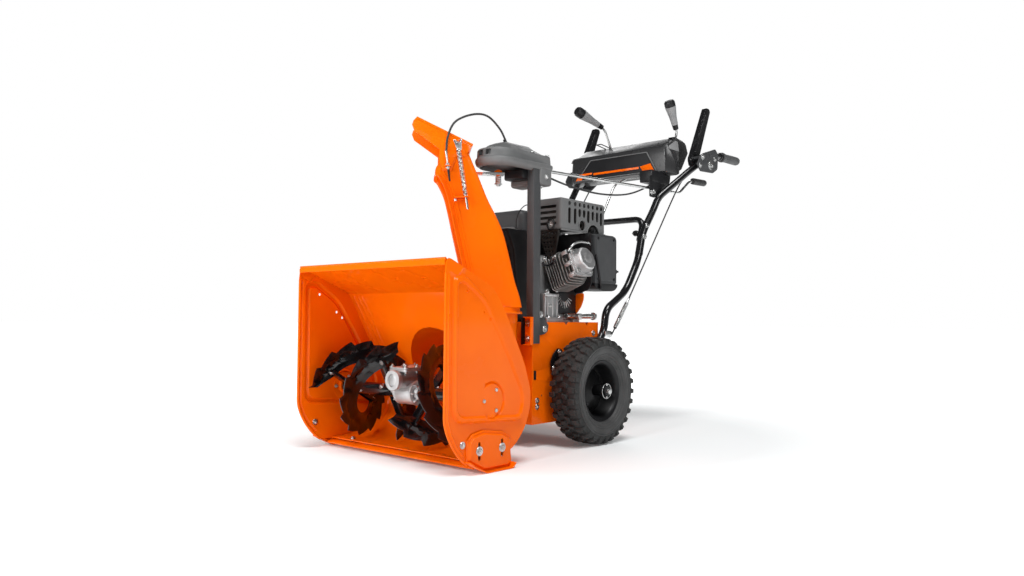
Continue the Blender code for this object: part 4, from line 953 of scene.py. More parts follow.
def make_gear_case():
    """A cast case with a ringed nose, a domed plug, a flanged lid and strengthening ribs."""
    y, z = AUGER[1], AUGER[2]
    case = softened(copy_of("gear_case"), 0.0012)
    parts = [case]
    parts.append(lathe([(0.0175, 0), (0.0275, 0), (0.029, 0.0015), (0.029, 0.006), (0.027, 0.008),
                        (0.0185, 0.008),
                        (0.0175, 0.0065)], (0, -0.5995, IMPELLER_Z), (0, -1, 0), 48))
    parts.append(lathe([(0, 0.0045), (0.01, 0.004), (0.0155, 0.0022), (0.0178, 0.0), (0.0178, -0.002),
                        (0, -0.002)],
                       (0, -0.6005, IMPELLER_Z), (0, -1, 0), 40))
    for side in (-1, 1):
        parts.append(lathe([(0.022, 0), (0.0345, 0), (0.0355, 0.002), (0.0355, 0.006), (0.034, 0.0075),
                            (0.0235, 0.0075)], (side * 0.0285, y, z), (side, 0, 0), 48))
        parts.append(lathe([(0.014, 0), (0.0215, 0), (0.0225, 0.0015), (0.0225, 0.006), (0.014, 0.006)],
                           (side * 0.0465, y, z), (side, 0, 0), 36))
        for turn in range(0, 360, 45):
            rib = box((0.029, -0.0012, 0.0215), (0.047, 0.0012, 0.033), 0.0006)
            if side < 0:
                moved(rib, Matrix.Scale(-1, 4, X))
                rib.data.flip_normals()
            moved(rib, Matrix.Translation((0, y, z)) @ Matrix.Rotation(radians(turn), 4, "X"))
            parts.append(rib)
    lid = plate_z([rounded2([(-0.036, -0.589), (0.036, -0.589), (0.036, -0.49), (-0.036, -0.49)], 0.01)],
                  0.244, 0.248, 0.0012)
    low = plate_z([rounded2([(-0.036, -0.589), (0.036, -0.589), (0.036, -0.49), (-0.036, -0.49)], 0.01)],
                  0.2365, 0.2432, 0.0012)
    dome = lathe([(0.024, 0.2478), (0.022, 0.251), (0.012, 0.2535), (0, 0.254)], (0, -0.54, 0), Z, 32)
    place(joined(*parts, lid, low, dome), "gear_case_casting", CAST, "gear_case")
    for x in (-0.028, 0.028):
        for yy in (-0.581, -0.54, -0.498):
            gather("gear_case_bolts", bolt((x, yy, 0.248), Z, 0.0042, length=0.004))
            gather("gear_case_bolts", bolt((x, yy, 0.2365), (0, 0, -1), 0.0042, washer=False))
    gather("gear_case_bolts", bolt((0, -0.56, 0.252), Z, 0.005))


def make_impeller():
    """Three dished blades with folded tips, on a hub with a backing disc."""
    z = IMPELLER_Z
    hub = lathe([(0.01, -0.385), (0.0205, -0.385), (0.0212, -0.383), (0.0212, -0.242), (0.0205, -0.24),
                 (0.01, -0.24)], (0, 0, z), Y, 36)
    disc = lathe([(0.02, -0.2475), (0.0855, -0.2475), (0.0865, -0.2465), (0.0865, -0.2435), (0.02, -0.2435)],
                 (0, 0, z), Y, 48)
    parts = [hub, disc]
    for i in range(3):
        outline = rounded2([(0.016, -0.2435), (0.132, -0.2435), (0.1378, -0.262), (0.1378, -0.318),
                            (0.118, -0.35),
                            (0.016, -0.382)], 0.008)
        ribs = [([(0.03, -0.3), (0.118, -0.3)], 0.01, 0.004)]

        def cupped(u, v, h):
            return Vector((u, v, h + 0.01 * (u / 0.138) ** 2 - 0.002))
        blade = sheet(outline, [], ribs, 0.003, cupped, 0.012)
        turn = Matrix.Rotation(radians(15 + 120 * i), 4, "Y")
        parts.append(moved(blade, Matrix.Translation((0, 0, z)) @ turn))
    place(joined(*parts), "impeller_fan", ORANGE, "impeller")
    for turn in (40, 220):
        fixing = bolt((0, -0.262, 0.0205), Z, 0.0046)
        moved(fixing, Matrix.Translation((0, 0, z)) @ Matrix.Rotation(radians(turn), 4, "Y"))
        gather("impeller_bolts", fixing, body="impeller")


make_auger_side(radians(26), 1)
make_auger_side(radians(90), -1)
make_gear_case()
make_impeller()
# ---------------------------------------------------------------- chute, deflector and turning gear

CHUTE = (0.1075, -0.3)
HEADING = radians(41.2)
HALF = 0.06
CABLE_W = -HALF - 0.012
ROD_W = -HALF - 0.0265
ROD_PIN = (0.1262, 0.889)
CHUTE_FRAME = Matrix((
    (-sin(HEADING), 0, -cos(HEADING), CHUTE[0]),
    (-cos(HEADING), 0, sin(HEADING), CHUTE[1]),
    (0, 1, 0, 0),
    (0, 0, 0, 1),
))
"""Maps (distance along the discharge direction, height, distance across) to the machine."""


def chute_point(s, z, w):
    return CHUTE_FRAME @ Vector((s, z, w))


def chute_plate(loops, low, high, bevel=0.0, segments=2):
    return plate(loops, low, high, CHUTE_FRAME, bevel, segments)


def chute_section(depth, flange):
    """Half of a section, from the front flange to the middle of the back, as (distance back, half width)."""
    section = [(0.0, HALF + 0.0115 * flange), (0.0, HALF + 0.004 * flange), (0.0012, HALF + 0.0008),
               (0.004, HALF)]
    for at in (0.011, 0.021):
        section += [(at, HALF), (at + 0.0014, HALF + 0.002), (at + 0.0042, HALF + 0.002), (at + 0.0056, HALF)]
    section += [(0.033, HALF)] + [(0.033 + (depth - 0.05) * k / 3, HALF) for k in (1, 2, 3)]
    for k in range(1, 7):
        turn = pi / 2 * k / 6
        section.append((depth - 0.014 + 0.014 * sin(turn), HALF - 0.014 + 0.014 * cos(turn)))
    return section + [(depth, HALF - 0.03), (depth, 0.0)]


def make_channel():
    """A folded channel with rounded back corners, ribs along both front edges and turned-out flanges."""
    levels = [((-0.066, 0.4175), (0.078, 0.4175), 1), ((-0.058, 0.452), (0.088, 0.452), 1),
              ((-0.044, 0.496), (0.0975, 0.492), 1), ((-0.027, 0.568), (0.112, 0.555), 1),
              ((-0.009, 0.634), (0.1315, 0.64), 1), ((0.011, 0.68), (0.1425, 0.69), 1),
              ((0.035, 0.726), (0.157, 0.746), 1), ((0.0585, 0.782), (0.1765, 0.786), 0.8),
              ((0.07, 0.808), (0.188, 0.797), 0.05), ((0.082, 0.836), (0.186, 0.814), 0.0),
              ((0.0925, 0.861), (0.174, 0.832), 0.0)]
    flat = [Vector((*back, flange)) for back, front, flange in levels]
    fronts = [Vector((*front, flange)) for back, front, flange in levels]
    builder = bmesh.new()
    rows = []
    for back, front in zip(smooth_route(flat, 4), smooth_route(fronts, 4)):
        along = Vector((back.x - front.x, back.y - front.y))
        section = chute_section(along.length, min(max(front.z, 0.0), 1.0))
        along.normalize()
        half = [(front.x + along.x * d, front.y + along.y * d, w - 0.00125) for d, w in section]
        full = [(s, z, -w) for s, z, w in half[:-1]] + half[-1:] + half[-2::-1]
        full[len(half) - 1] = (half[-1][0], half[-1][1], 0.0)
        rows.append([builder.verts.new(chute_point(*p)) for p in full])
    for one, two in zip(rows, rows[1:]):
        for k in range(len(one) - 1):
            builder.faces.new((one[k], one[k + 1], two[k + 1], two[k]))
    return thickened(from_bmesh(builder), 0.0024)


def make_chute():
    x, y = CHUTE
    ring = lathe([(0.0567, 0.3985), (0.0735, 0.3985), (0.074, 0.3995), (0.074, 0.404), (0.073, 0.4055),
                  (0.069, 0.4062), (0.068, 0.4072), (0.068, 0.418), (0.0672, 0.4195), (0.0567, 0.4195)],
                 (x, y, 0), Z, 72)
    hem = lathe([(0.0655, 0.419), (0.0688, 0.419), (0.0694, 0.4205), (0.0688, 0.422), (0.064, 0.422)],
                (x, y, 0), Z, 72)
    arm = chute_plate([rounded2([(-0.016, 0.8105), (-0.016, 0.8145), (0.076, 0.8145), (0.074, 0.8105)],
                                0.001)],
                      -0.016, 0.016, 0.0006)
    spindle = lathe([(0, 0.779), (0.0052, 0.779), (0.006, 0.78), (0.006, 0.8245), (0.0052, 0.8255),
                     (0, 0.8255)],
                    (x, y, 0), Z, 28)
    tab = chute_plate([rounded2([(0.092, 0.7285), (0.092, 0.7315), (0.1355, 0.728), (0.1355, 0.725)],
                                0.0012)],
                      ROD_W - 0.009, -HALF + 0.0005, 0.0005)
    rod_hole = bar(chute_point(0.0969, 0.7, ROD_W), chute_point(0.1071, 0.76, ROD_W), 0.0066, 24)
    wire_hole = bar(chute_point(0.1285, 0.7, CABLE_W), chute_point(0.1345, 0.75, CABLE_W), 0.0024, 16)
    tab = cut(tab, rod_hole, wire_hole)
    collar = lathe([(0.0062, 0.8145), (0.0105, 0.8145), (0.0112, 0.8155), (0.0112, 0.8215), (0.0105, 0.8225),
                    (0.0062, 0.8225)], (x, y, 0), Z, 32)
    place(joined(make_channel(), ring, hem, arm, spindle, tab, collar), "chute_channel", ORANGE, "chute")
    washer = chute_plate([rounded2([(-0.017, 0.8095), (-0.017, 0.8155), (0.048, 0.8155), (0.048, 0.8095)],
                                   0.0008)],
                         -0.0168, 0.0168, 0.0006)
    gather("chute_spindle_fittings", cut(washer, bar((x, y, 0.8), (x, y, 0.82), 0.0065)), body="chute")
    gather("chute_spindle_fittings", coil((x, y, 0.8065), (x, y, 0.7845), 0.0082, 0.0011, 7.0, 14, 1),
           body="chute")
    gather("chute_spindle_fittings", bolt((x, y, 0.784), (0, 0, -1), 0.0062), body="chute")
    barrel = lathe([(0.001, 0), (0.0042, 0), (0.0046, 0.0006), (0.0046, 0.0062), (0.003, 0.0074),
                    (0.001, 0.0074)],
                   chute_point(0.1303, 0.7185, CABLE_W), chute_point(0.1345, 0.75, CABLE_W)
                   - chute_point(0.1285, 0.7, CABLE_W), 20)
    gather("chute_spindle_fittings", barrel, body="chute")


def make_deflector():
    """The hood with a doubled side, a hem along its top edges, hinge pins and the cable's ear."""
    rear = chute_plate([[(0.08, 0.886), (0.0985, 0.858), (0.095, 0.84), (0.05, 0.84), (0.05, 0.886)]],
                       -0.09, 0.09)
    parts = [softened(cut(copy_of("deflector"), rear), 0.0007)]
    side = HALF + 0.0033
    second = rounded2([(0.1735, 0.892), (0.1745, 0.862), (0.1745, 0.836), (0.1655, 0.8095), (0.1465, 0.8095),
                       (0.1315, 0.849), (0.101, 0.855), (0.112, 0.88), (0.16, 0.903)], 0.006, 4)
    hem = [(0.0815, 0.8795), (0.0815, 0.8862), (0.2412, 0.9592), (0.244, 0.9545)]
    for sign in (-1, 1):
        low, high = sorted((sign * (side - 0.0008), sign * (side + 0.0014)))
        if sign < 0:
            parts.append(chute_plate([second], low, high, 0.0006))
        parts.append(chute_plate([hem], low, high, 0.0006))
    parts.append(chute_plate([[(0.19, 0.9325), (0.236, 0.9535), (0.238, 0.956), (0.192, 0.935)]], -0.04, 0.04,
                             0.0006))
    place(joined(*parts), "deflector_hood", ORANGE, "deflector")
    top = chute_point(0.1585, 0.861, CABLE_W)
    ear = chute_point(0.153, 0.819, CABLE_W)
    along = (top - ear).normalized()
    length = (top - ear).length
    sleeve = [(0.0016, length), (0.0036, length), (0.0036, length - 0.016), (0.0029, length - 0.0175),
              (0.0029, -0.01),
              (0.0024, -0.012), (0.0016, -0.012)]
    gather("deflector_fittings", lathe(sleeve, ear, along, 24), body="deflector")
    for at in (0.0022, -0.0072):
        nut = lathe([(0.0025, 0), (0.0058, 0), (0.0062, 0.0006), (0.0062, 0.004), (0.0056, 0.0046),
                     (0.0025, 0.0046)],
                    ear + along * at, along, 6, 20)
        gather("deflector_fittings", nut, body="deflector")
    gather("deflector_fittings", joined(bar(chute_point(*ROD_PIN, -HALF - 0.0033),
                                            chute_point(*ROD_PIN, ROD_W - 0.0048), 0.0037, 24,
                             0.0006), bar(chute_point(*ROD_PIN, -HALF - 0.0033),
                                          chute_point(*ROD_PIN, -HALF - 0.0215),
                                          0.0056, 24, 0.0006)), body="deflector")
    boot = [(0.0012, -0.01), (0.0031, -0.0105), (0.0034, -0.014), (0.003, -0.03), (0.0024, -0.044),
            (0.0012, -0.045)]
    place(lathe(boot, ear, along, 24), "deflector_cable_boot", DARK_PLASTIC_AND_SHADE, body="deflector",
          finish="grip_rubber")


def rod_plate(outline, low, high, bevel):
    """A flat piece in the rod's own axes: across it and along it from its pivot."""
    across, along = Vector((0.986, -0.168)), Vector((0.168, 0.986))
    pivot = Vector(ROD_PIN)
    loop = [tuple(pivot + across * u + along * v) for u, v in outline]
    return chute_plate([loop], ROD_W + low, ROD_W + high, bevel)


def make_rod():
    """The push rod with its forked end, pin and long coil spring."""
    low, high = chute_point(0.0957, 0.693, ROD_W), chute_point(0.125, 0.868, ROD_W)
    rod = bar(low, high, 0.0034, 24, 0.0008)
    edge = [(-0.0068, -0.027), (-0.0076, -0.0215), (-0.0092, -0.012), (-0.0118, -0.001), (-0.011, 0.0045),
            (-0.0068, 0.0048), (-0.0058, 0.003)]
    fork = edge + arc(0, -0.001, 0.0064, 160, 380, 12) + [(-u, v) for u, v in edge[::-1]]
    place(joined(rod, rod_plate(fork, -0.0018, 0.0018, 0.0005)), "deflector_push_rod", ZINC, "deflector_rod")
    foot = chute_point(0.1023, 0.7325, ROD_W)
    spring = coil(foot, chute_point(0.124, 0.864, ROD_W), 0.0064, 0.00125, 30, 14, 1)
    place(spring, "deflector_push_spring", ZINC, "deflector_spring")
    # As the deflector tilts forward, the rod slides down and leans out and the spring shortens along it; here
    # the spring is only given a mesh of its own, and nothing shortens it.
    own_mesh(spring)


def hood_outline(inset):
    outline = arc(CHUTE[0], CHUTE[1], 0.069 - inset, 180, 360, 30)
    return outline + [(0.179 - inset, -0.2), (0.18 - inset, -0.132 - inset), (0.05 + inset, -0.132 - inset),
                      (0.0405 + inset, -0.215)]


def crown(y):
    """Height of the hood's ridge along Y."""
    return float(np.interp(y, [-0.365, -0.34, -0.3, -0.25, -0.21, -0.165, -0.14],
                           [0.884, 0.891, 0.907, 0.919, 0.912, 0.896, 0.884]))


def make_gear_head():
    """A moulded hood: a tapered rim, a wall with windows, and a faceted crown falling to the nose."""
    rings = [(0.015, 0.83, 0), (0.0125, 0.83, 0), (0.003, 0.837, 0), (0.0, 0.844, 0), (0.0, 0.852, 0),
             (0.0022, 0.855, 0), (0.0045, 0.8565, 0), (0.006, 0.879, 0), (0.0085, 0.8822, 0),
             (0.012, 0.883, 0),
             (0.026, 0.883, 0.55), (0.04, 0.883, 0.95), (0.056, 0.883, 1.0)]
    rows = [[(x, y, z + lift * (crown(y) - 0.883)) for x, y in hood_outline(inset)] for inset, z,
            lift in rings]
    hood = lofted(rows, 24, triangles=True)
    room = plate_z([hood_outline(0.0135)], 0.8, 0.844)
    windows = []
    for degrees, width in ((206, 9), (230, 10), (256, 10), (284, 8)):
        a = radians(degrees)
        window = box((0.048, -width * 0.0011, 0.861), (0.074, width * 0.0011, 0.8775), 0.0012)
        windows.append(moved(window, Matrix.Translation((CHUTE[0], CHUTE[1], 0)) @ Matrix.Rotation(a, 4,
                                                                                                   "Z")))
    hood = cut(hood, room, joined(*windows))
    skirt = box((0.056, -0.19, 0.79), (0.1795, -0.1322, 0.846), 0.009, 4)
    lug = box((0.07, -0.235, 0.806), (0.15, -0.185, 0.836), 0.006, 3)
    seam = plate_z([hood_outline(-0.0005)], 0.8475, 0.8487)
    place(joined(hood, skirt, seam), "gear_head_hood", PALE_PLASTIC, "gear_head_cover")
    place(lug, "gear_head_underside", DARK_PLASTIC_AND_SHADE)
    drum = lathe([(0.02, 0.859), (0.038, 0.859), (0.043, 0.861), (0.043, 0.87), (0.02, 0.873)],
                 (CHUTE[0], CHUTE[1], 0), Z, 48)
    place(drum, "gear_head_window_band", ORANGE)
    for x, y in ((0.062, -0.145), (0.168, -0.145), (0.165, -0.215)):
        gather("gear_head_bolts", bolt((x, y, 0.8836), Z, 0.0042, domed=True))
    gather("gear_head_bolts", bolt((0.1545, -0.16, 0.7895), (0, 0, -1), 0.0048))
    gather("gear_head_bolts", bolt((0.1792, -0.16, 0.816), X, 0.0046, domed=True))
    collar = lathe([(0.003, 0.0), (0.0052, 0.0), (0.0046, 0.009), (0.0036, 0.012), (0.003, 0.012)],
                   (0.1042, -0.264, 0.9125), (-0.07, -0.6, 0.79), 20)
    place(collar, "cable_grommet", DARK_PLASTIC_AND_SHADE, finish="grip_rubber")


def make_post():
    place(softened(copy_of("chute_post"), 0.0008), "chute_post_channel", PLASTIC, "chute_post")
    for y, z in ((-0.158, 0.354), (-0.1765, 0.398)):
        gather("post_bolts", bolt((0.1735, y, z), X, 0.005))
    bracket = joined(softened(copy_of("post_bracket"), 0.0006),
                     plate_x([rounded2([(-0.23, 0.3065), (-0.2165, 0.3065), (-0.2165, 0.3905),
                                        (-0.23, 0.3905)],
                                       0.003)], 0.1755, 0.178, 0.0006))
    place(bracket, "post_bracket_folded", ORANGE, "post_bracket")
    # A dark sheet across the left half of the bracket's face is painted shade for its open side.
    gap = plate_y([rounded2(rectangle(0.1318, 0.3075, 0.1475, 0.389), 0.001)], -0.2192, -0.2186, 0.0002)
    place(gap, "post_bracket_opening_shade", DARK_PLASTIC_AND_SHADE, finish="black_paint")
    for z in (0.3245, 0.3722):
        gather("post_bolts", bolt((0.1572, -0.2186, z), (0, -1, 0), 0.0052))


make_chute()
make_deflector()
make_rod()
make_gear_head()
make_post()
# ---------------------------------------------------------------- wheels and frame

WHEEL = (0.2405, 0, 0.165)


def tread_block(corners, foot, tread, chamfer=0.0022):
    """A tapered tyre lug from (angle, distance across) corners, between two radii."""
    middle = [sum(values) / len(corners) for values in zip(*corners)]
    rows = []
    for radius, inset in ((foot, -0.1), (tread - chamfer * 0.6, 0.04), (tread, 0.16)):
        row = []
        for angle, x in corners:
            angle += (middle[0] - angle) * inset
            x += (middle[1] - x) * inset
            r = radius - (0.15 * max(0.0, abs(x) - 0.024) if radius > foot else 0)
            row.append((x, r * cos(angle), r * sin(angle)))
        rows.append(row)
    return lofted(rows, 30)


def make_tyre():
    """A knobbly snow tyre: paired centre lugs in chevrons, shoulder lugs and bars down the shoulder."""
    half = 0.0505
    carcass = lathe([(0.0925, -0.031), (0.0975, -0.0375), (0.11, -0.0455), (0.128, -0.0485), (0.143, -0.0478),
                     (0.1525, -0.043), (0.1565, -0.032), (0.1578, 0.0), (0.1565, 0.032), (0.1525, 0.043),
                     (0.143, 0.0478), (0.128, 0.0485), (0.11, 0.0455), (0.0975, 0.0375), (0.0925, 0.031)],
                    (0, 0, 0), X, 96)
    pieces = [carcass]
    pitches = 30
    step = TAU / pitches
    for i in range(pitches):
        base = i * step
        for side in (-1, 1):
            shift = 0 if side > 0 else step / 2
            centre = [(base + shift + step * a, side * x) for a, x in
                      ((0.02, 0.0015), (0.34, 0.0015), (0.52, 0.0175), (0.5, 0.0195), (0.16, 0.0195),
                       (0.1, 0.015))]
            pieces.append(tread_block(centre, 0.156, 0.1648))
            shoulder = [(base + shift + step * a, side * x) for a, x in
                        ((0.44, 0.0235), (0.8, 0.0235), (0.94, 0.033), (0.94, 0.044), (0.5, 0.044),
                         (0.4, 0.033))]
            pieces.append(tread_block(shoulder, 0.15, 0.164))
    for i in range(pitches):
        for side in (-1, 1):
            shift = (0 if side > 0 else step / 2) + step * 0.7
            angle = i * step + shift
            wide = 0.21 * step
            loop = [(0.14, -wide * 0.6), (0.143, -wide * 0.85), (0.1575, -wide), (0.1575, wide),
                    (0.143, wide * 0.85),
                    (0.14, wide * 0.6)]
            points = [(r * cos(angle + a), r * sin(angle + a)) for r, a in loop]
            low, high = sorted((side * 0.043, side * (half - 0.0012)))
            pieces.append(plate_x([points], low, high, 0.0012, 1))
    for wall in pieces:
        moved(wall, Matrix.Translation(WHEEL))
    tyre = joined(*pieces)
    rings = []
    for side in (-1, 1):
        for r, across in ((0.099, 0.0385), (0.106, 0.043), (0.113, 0.0465), (0.129, 0.0488),
                          (0.1355, 0.0485)):
            rings.append(lathe([(r - 0.0016, 0), (r - 0.0008, 0.0014), (r + 0.0008, 0.0014), (r + 0.0016, 0)],
                               (WHEEL[0] + side * across, 0, WHEEL[2]), (side, 0, 0), 96))
        rings.append(lathe([(0.0935, 0.0338), (0.0985, 0.0388), (0.1105, 0.0463), (0.128, 0.049),
                            (0.1375, 0.0486),
                            (0.1375, 0.047), (0.11, 0.044), (0.0935, 0.032)],
                           (WHEEL[0], 0, WHEEL[2]), (side, 0, 0), 96))
    place_pair(tyre, "tyre_tread", RUBBER, "tyre")
    place_pair(joined(*rings), "tyre_wall", WALL, body="wheels")


def make_rim():
    """A dished steel rim with a rolled edge, a stepped disc, a hub and a valve."""
    bore = 0.0099
    disc = lathe([(bore, -0.042), (0.0165, -0.042), (0.0165, -0.006), (0.05, -0.012), (0.074, -0.033),
                  (0.0905, -0.033), (0.0925, -0.0345), (0.094, -0.033), (0.093, -0.03), (0.0905, -0.029),
                  (0.0905, 0.029), (0.093, 0.03), (0.0945, 0.0335), (0.093, 0.0362), (0.09, 0.035),
                  (0.085, 0.0325), (0.08, 0.025), (0.076, -0.008), (0.0725, -0.0155), (0.067, -0.016),
                  (0.062, -0.012), (0.057, -0.0105), (0.05, -0.0045), (0.033, 0.0), (0.03, 0.0028),
                  (0.0185, 0.005), (0.0165, 0.007), (0.0165, 0.056), (0.0155, 0.058), (bore, 0.058)],
                 WHEEL, X, 72)
    place_pair(disc, "rim_disc", ENAMEL, "rim")
    for degrees in (215, 235):
        a = radians(degrees)
        spot = (WHEEL[0] - 0.0145, 0.064 * cos(a), WHEEL[2] + 0.064 * sin(a))
        gather("rim_bolts", bolt(spot, X, 0.0032), both=True, body="wheels")
    a = radians(205)
    root = Vector((WHEEL[0] + 0.012, 0.0775 * cos(a), WHEEL[2] + 0.0775 * sin(a)))
    valve = lathe([(0, 0), (0.0045, 0), (0.0045, 0.004), (0.003, 0.007), (0.003, 0.017), (0.0036, 0.0172),
                   (0.0036, 0.0245), (0.0028, 0.0255), (0, 0.0255)], root, (0.86, -0.25, -0.1), 18)
    place_pair(valve, "tyre_valve", DARK_PLASTIC_AND_SHADE, body="wheels", finish="grip_rubber")
    end = lathe([(0, 0), (0.0082, 0), (0.0092, -0.001), (0.0092, -0.006), (0, -0.006)], (0.3049, 0, WHEEL[2]),
                X, 28)
    pin = bar((0.292, 0.0, WHEEL[2] - 0.023), (0.292, 0.0, WHEEL[2] + 0.023), 0.0027, 18)
    ring = tube([(0.292 + 0.0008 * sin(t), 0.0225 * sin(t), WHEEL[2] + 0.0225 * cos(t))
                 for t in [TAU * k / 28 for k in range(28)]], 0.0012, 3, closed=True)
    for piece in (end, pin, ring):
        gather("hub_pins", piece, both=True, body="wheels")


def make_frame():
    """The folded frame with its axle bearings, belly bolts, and dark patches of painted shade for its slots."""
    place(softened(copy_of("tractor_frame"), 0.001), "frame_box", ORANGE, "tractor_frame")
    bearing = joined(
        plate_x([rounded2([(-0.036, 0.14), (-0.02, 0.196), (0.02, 0.196), (0.036, 0.14), (0.02, 0.128),
                           (-0.02, 0.128)], 0.01)], 0.1702, 0.173, 0.0008),
        lathe([(0.01, 0), (0.02, 0), (0.02, 0.006), (0.017, 0.0105), (0.01, 0.0105)], (0.1725, 0, WHEEL[2]),
              X, 36))
    place_pair(bearing, "axle_bearing", DARK_PLASTIC_AND_SHADE, finish="black_paint")
    flange = joined(
        plate_x([rounded2([(-0.078, 0.245), (-0.052, 0.268), (-0.026, 0.245), (-0.052, 0.222)], 0.008)],
                0.1702, 0.1722, 0.0006),
        lathe([(0.009, 0), (0.015, 0), (0.015, 0.003), (0.009, 0.004)], (0.172, -0.052, 0.245), X, 30))
    place_pair(flange, "hex_shaft_bearing", ZINC)
    places = [(0.1701, -0.187, 0.1404), (0.1701, -0.187, 0.1218), (0.1701, 0.1, 0.34), (0.1701, 0.1, 0.29),
              (0.1701, -0.0275, 0.15),
              (0.1701, 0.0275, 0.15), (0.1701, -0.07, 0.245), (0.1701, -0.034, 0.245)]
    for place_at in places:
        gather("frame_bolts", bolt(place_at, X, 0.0044), both=True)
    # Dark patches on the frame side are painted shade standing for a slot and a hole.
    for piece in (plate_x([rounded2(rectangle(-0.204, 0.203, -0.193, 0.23), 0.0015)], 0.17, 0.1706, 0.0002),
                  plate_x([circle(-0.1665, 0.1545, 0.0024, 12)], 0.17, 0.1706, 0.0002)):
        gather("frame_side_openings", piece, both=True, material=DARK_PLASTIC_AND_SHADE)
    for y in (-0.075, 0.035, 0.095):
        gather("frame_bolts", bolt((0.11, y, 0.3636), Z, 0.0052))
    latch = joined(plate_x([rounded2([(-0.1, 0.295), (-0.08, 0.292), (-0.074, 0.28), (-0.098, 0.256),
                                      (-0.112, 0.222), (-0.124, 0.222), (-0.135, 0.252), (-0.122, 0.276)],
                                     0.006)], 0.176, 0.179, 0.0008),
                   bar((0.17, -0.091, 0.283), (0.1765, -0.091, 0.283), 0.006, 20),
                   bar((0.17, -0.119, 0.234), (0.1765, -0.119, 0.234), 0.005, 20))
    place(latch, "traction_lock_lever", BLACK)
    for y, z in ((-0.091, 0.283), (-0.119, 0.234)):
        gather("frame_bolts", bolt((0.179, y, z), X, 0.0044))
    rear = plate_y([rounded2([(-0.15, 0.085), (0.15, 0.085), (0.15, 0.34), (-0.15, 0.34)], 0.012),
                    rounded2([(-0.118, 0.115), (0.118, 0.115), (0.118, 0.305), (-0.118, 0.305)], 0.01)],
                   0.1268, 0.1285, 0.0005)
    place(rear, "frame_rear_border", ORANGE)


make_tyre()
make_rim()
make_frame()
# ---------------------------------------------------------------- engine and belt cover

CRANK_Z = 0.49
LEAN = Matrix.Translation((0, 0, CRANK_Z)) @ Matrix.Rotation(-radians(22.0), 4, "Y")


def lean_bolt(x, y, z, size=0.005):
    return moved(bolt((x, y, z), X, size), LEAN)


def make_cylinder():
    """Thin fins round the barrel and head, bolt bosses, and an octagonal valve cover on a lobed flange."""
    parts = [moved(box((0.06, -0.037, -0.039), (0.204, 0.037, 0.037), 0.006), LEAN)]
    for i in range(13):
        x = 0.082 + 0.0094 * i
        reach = 0.06 if i < 9 else 0.06 - 0.004 * (i - 8)
        outline = rounded2([(-reach, -reach - 0.002), (reach * 0.4, -reach - 0.004), (reach, -reach + 0.012),
                            (reach, reach - 0.01), (reach * 0.5, reach - 0.006),
                            (-reach * 0.6, reach - 0.006),
                            (-reach, reach - 0.02)], 0.012, 4)
        parts.append(moved(plate_x([outline], x, x + 0.003, 0.0006, 1), LEAN))
    joint_face = joined(box((-0.1, -0.1, 0.3), (0.085, 0.1, 0.7)),
                        box((0.0, -0.1, 0.3), (0.1183, 0.1, 0.456)))
    place(cut(joined(*parts), joint_face), "cylinder_fins", FINS, "engine_cylinder")
    bosses = []
    for y, z in ((-0.05, -0.004), (-0.046, -0.04), (-0.05, 0.034)):
        boss = lathe([(0.0028, 0), (0.0066, 0), (0.0072, -0.001), (0.0072, -0.02), (0.0028, -0.02)],
                     (0, 0, 0),
                     X, 24)
        bosses.append(moved(boss, LEAN @ Matrix.Translation((0.202, y, z))))
    head = [(-0.047, -0.047), (0.047, -0.047), (0.047, 0.044), (-0.047, 0.044)]
    bosses.append(moved(plate_x([rounded2(head, 0.014, 5)], 0.1985, 0.2045, 0.0012), LEAN))
    place(joined(*bosses), "cylinder_head_casting", CAST)
    lobes = []
    for k in range(64):
        a = TAU * k / 64
        r = 0.044 + 0.0085 * max(0.0, cos(4 * (a - pi / 4))) ** 2
        lobes.append((r * cos(a), r * sin(a)))
    octagon = [(0.0145, 0.0365), (0.0365, 0.016), (0.0365, -0.016), (0.0145, -0.0365), (-0.0145, -0.0365),
               (-0.0365, -0.016), (-0.0365, 0.016), (-0.0145, 0.0365)]
    outline = rounded2(octagon, 0.006, 4)
    rows = [[(x, y * scale, z * scale) for y, z in outline] for x, scale in
            ((0.2085, 1.1), (0.21, 1.07), (0.23, 1.02), (0.234, 0.98), (0.2357, 0.92), (0.2362, 0.86))]
    crown_part = moved(lofted(rows, 22), LEAN)
    panel = [tuple(Vector(p) * 0.5) for p in outline]
    raised = moved(plate_x([panel], 0.235, 0.2366, 0.0005), LEAN)
    flange = moved(plate_x([lobes], 0.205, 0.2095, 0.001), LEAN)
    place(joined(crown_part, raised, flange), "valve_cover_casting", CAST, "valve_cover")
    for k in range(4):
        a = radians(45 + 90 * k)
        gather("valve_cover_bolts", lean_bolt(0.2094, 0.0475 * cos(a), 0.0475 * sin(a)))


def make_lead():
    """The braided spark lead and its boot above the valve cover."""
    route = [(0.17, -0.048, 0.588), (0.182, -0.04, 0.612), (0.187, -0.02, 0.626), (0.186, 0.01, 0.631),
             (0.184, 0.05, 0.631), (0.176, 0.072, 0.628)]
    lead = tube(smooth_route(route, 6), 0.0034, 5)
    braid = [coil(Vector(a), Vector(b), 0.0034, 0.0005, 9, 10, 1) for a, b in
             ((route[2], route[3]), (route[3], route[4]))]
    place(joined(lead, *braid), "spark_lead", ZINC)
    boot = bar((0.158, -0.046, 0.578), (0.176, -0.045, 0.6), 0.0078, 20, 0.003)
    place(boot, "spark_boot", DARK_PLASTIC_AND_SHADE, finish="grip_rubber")


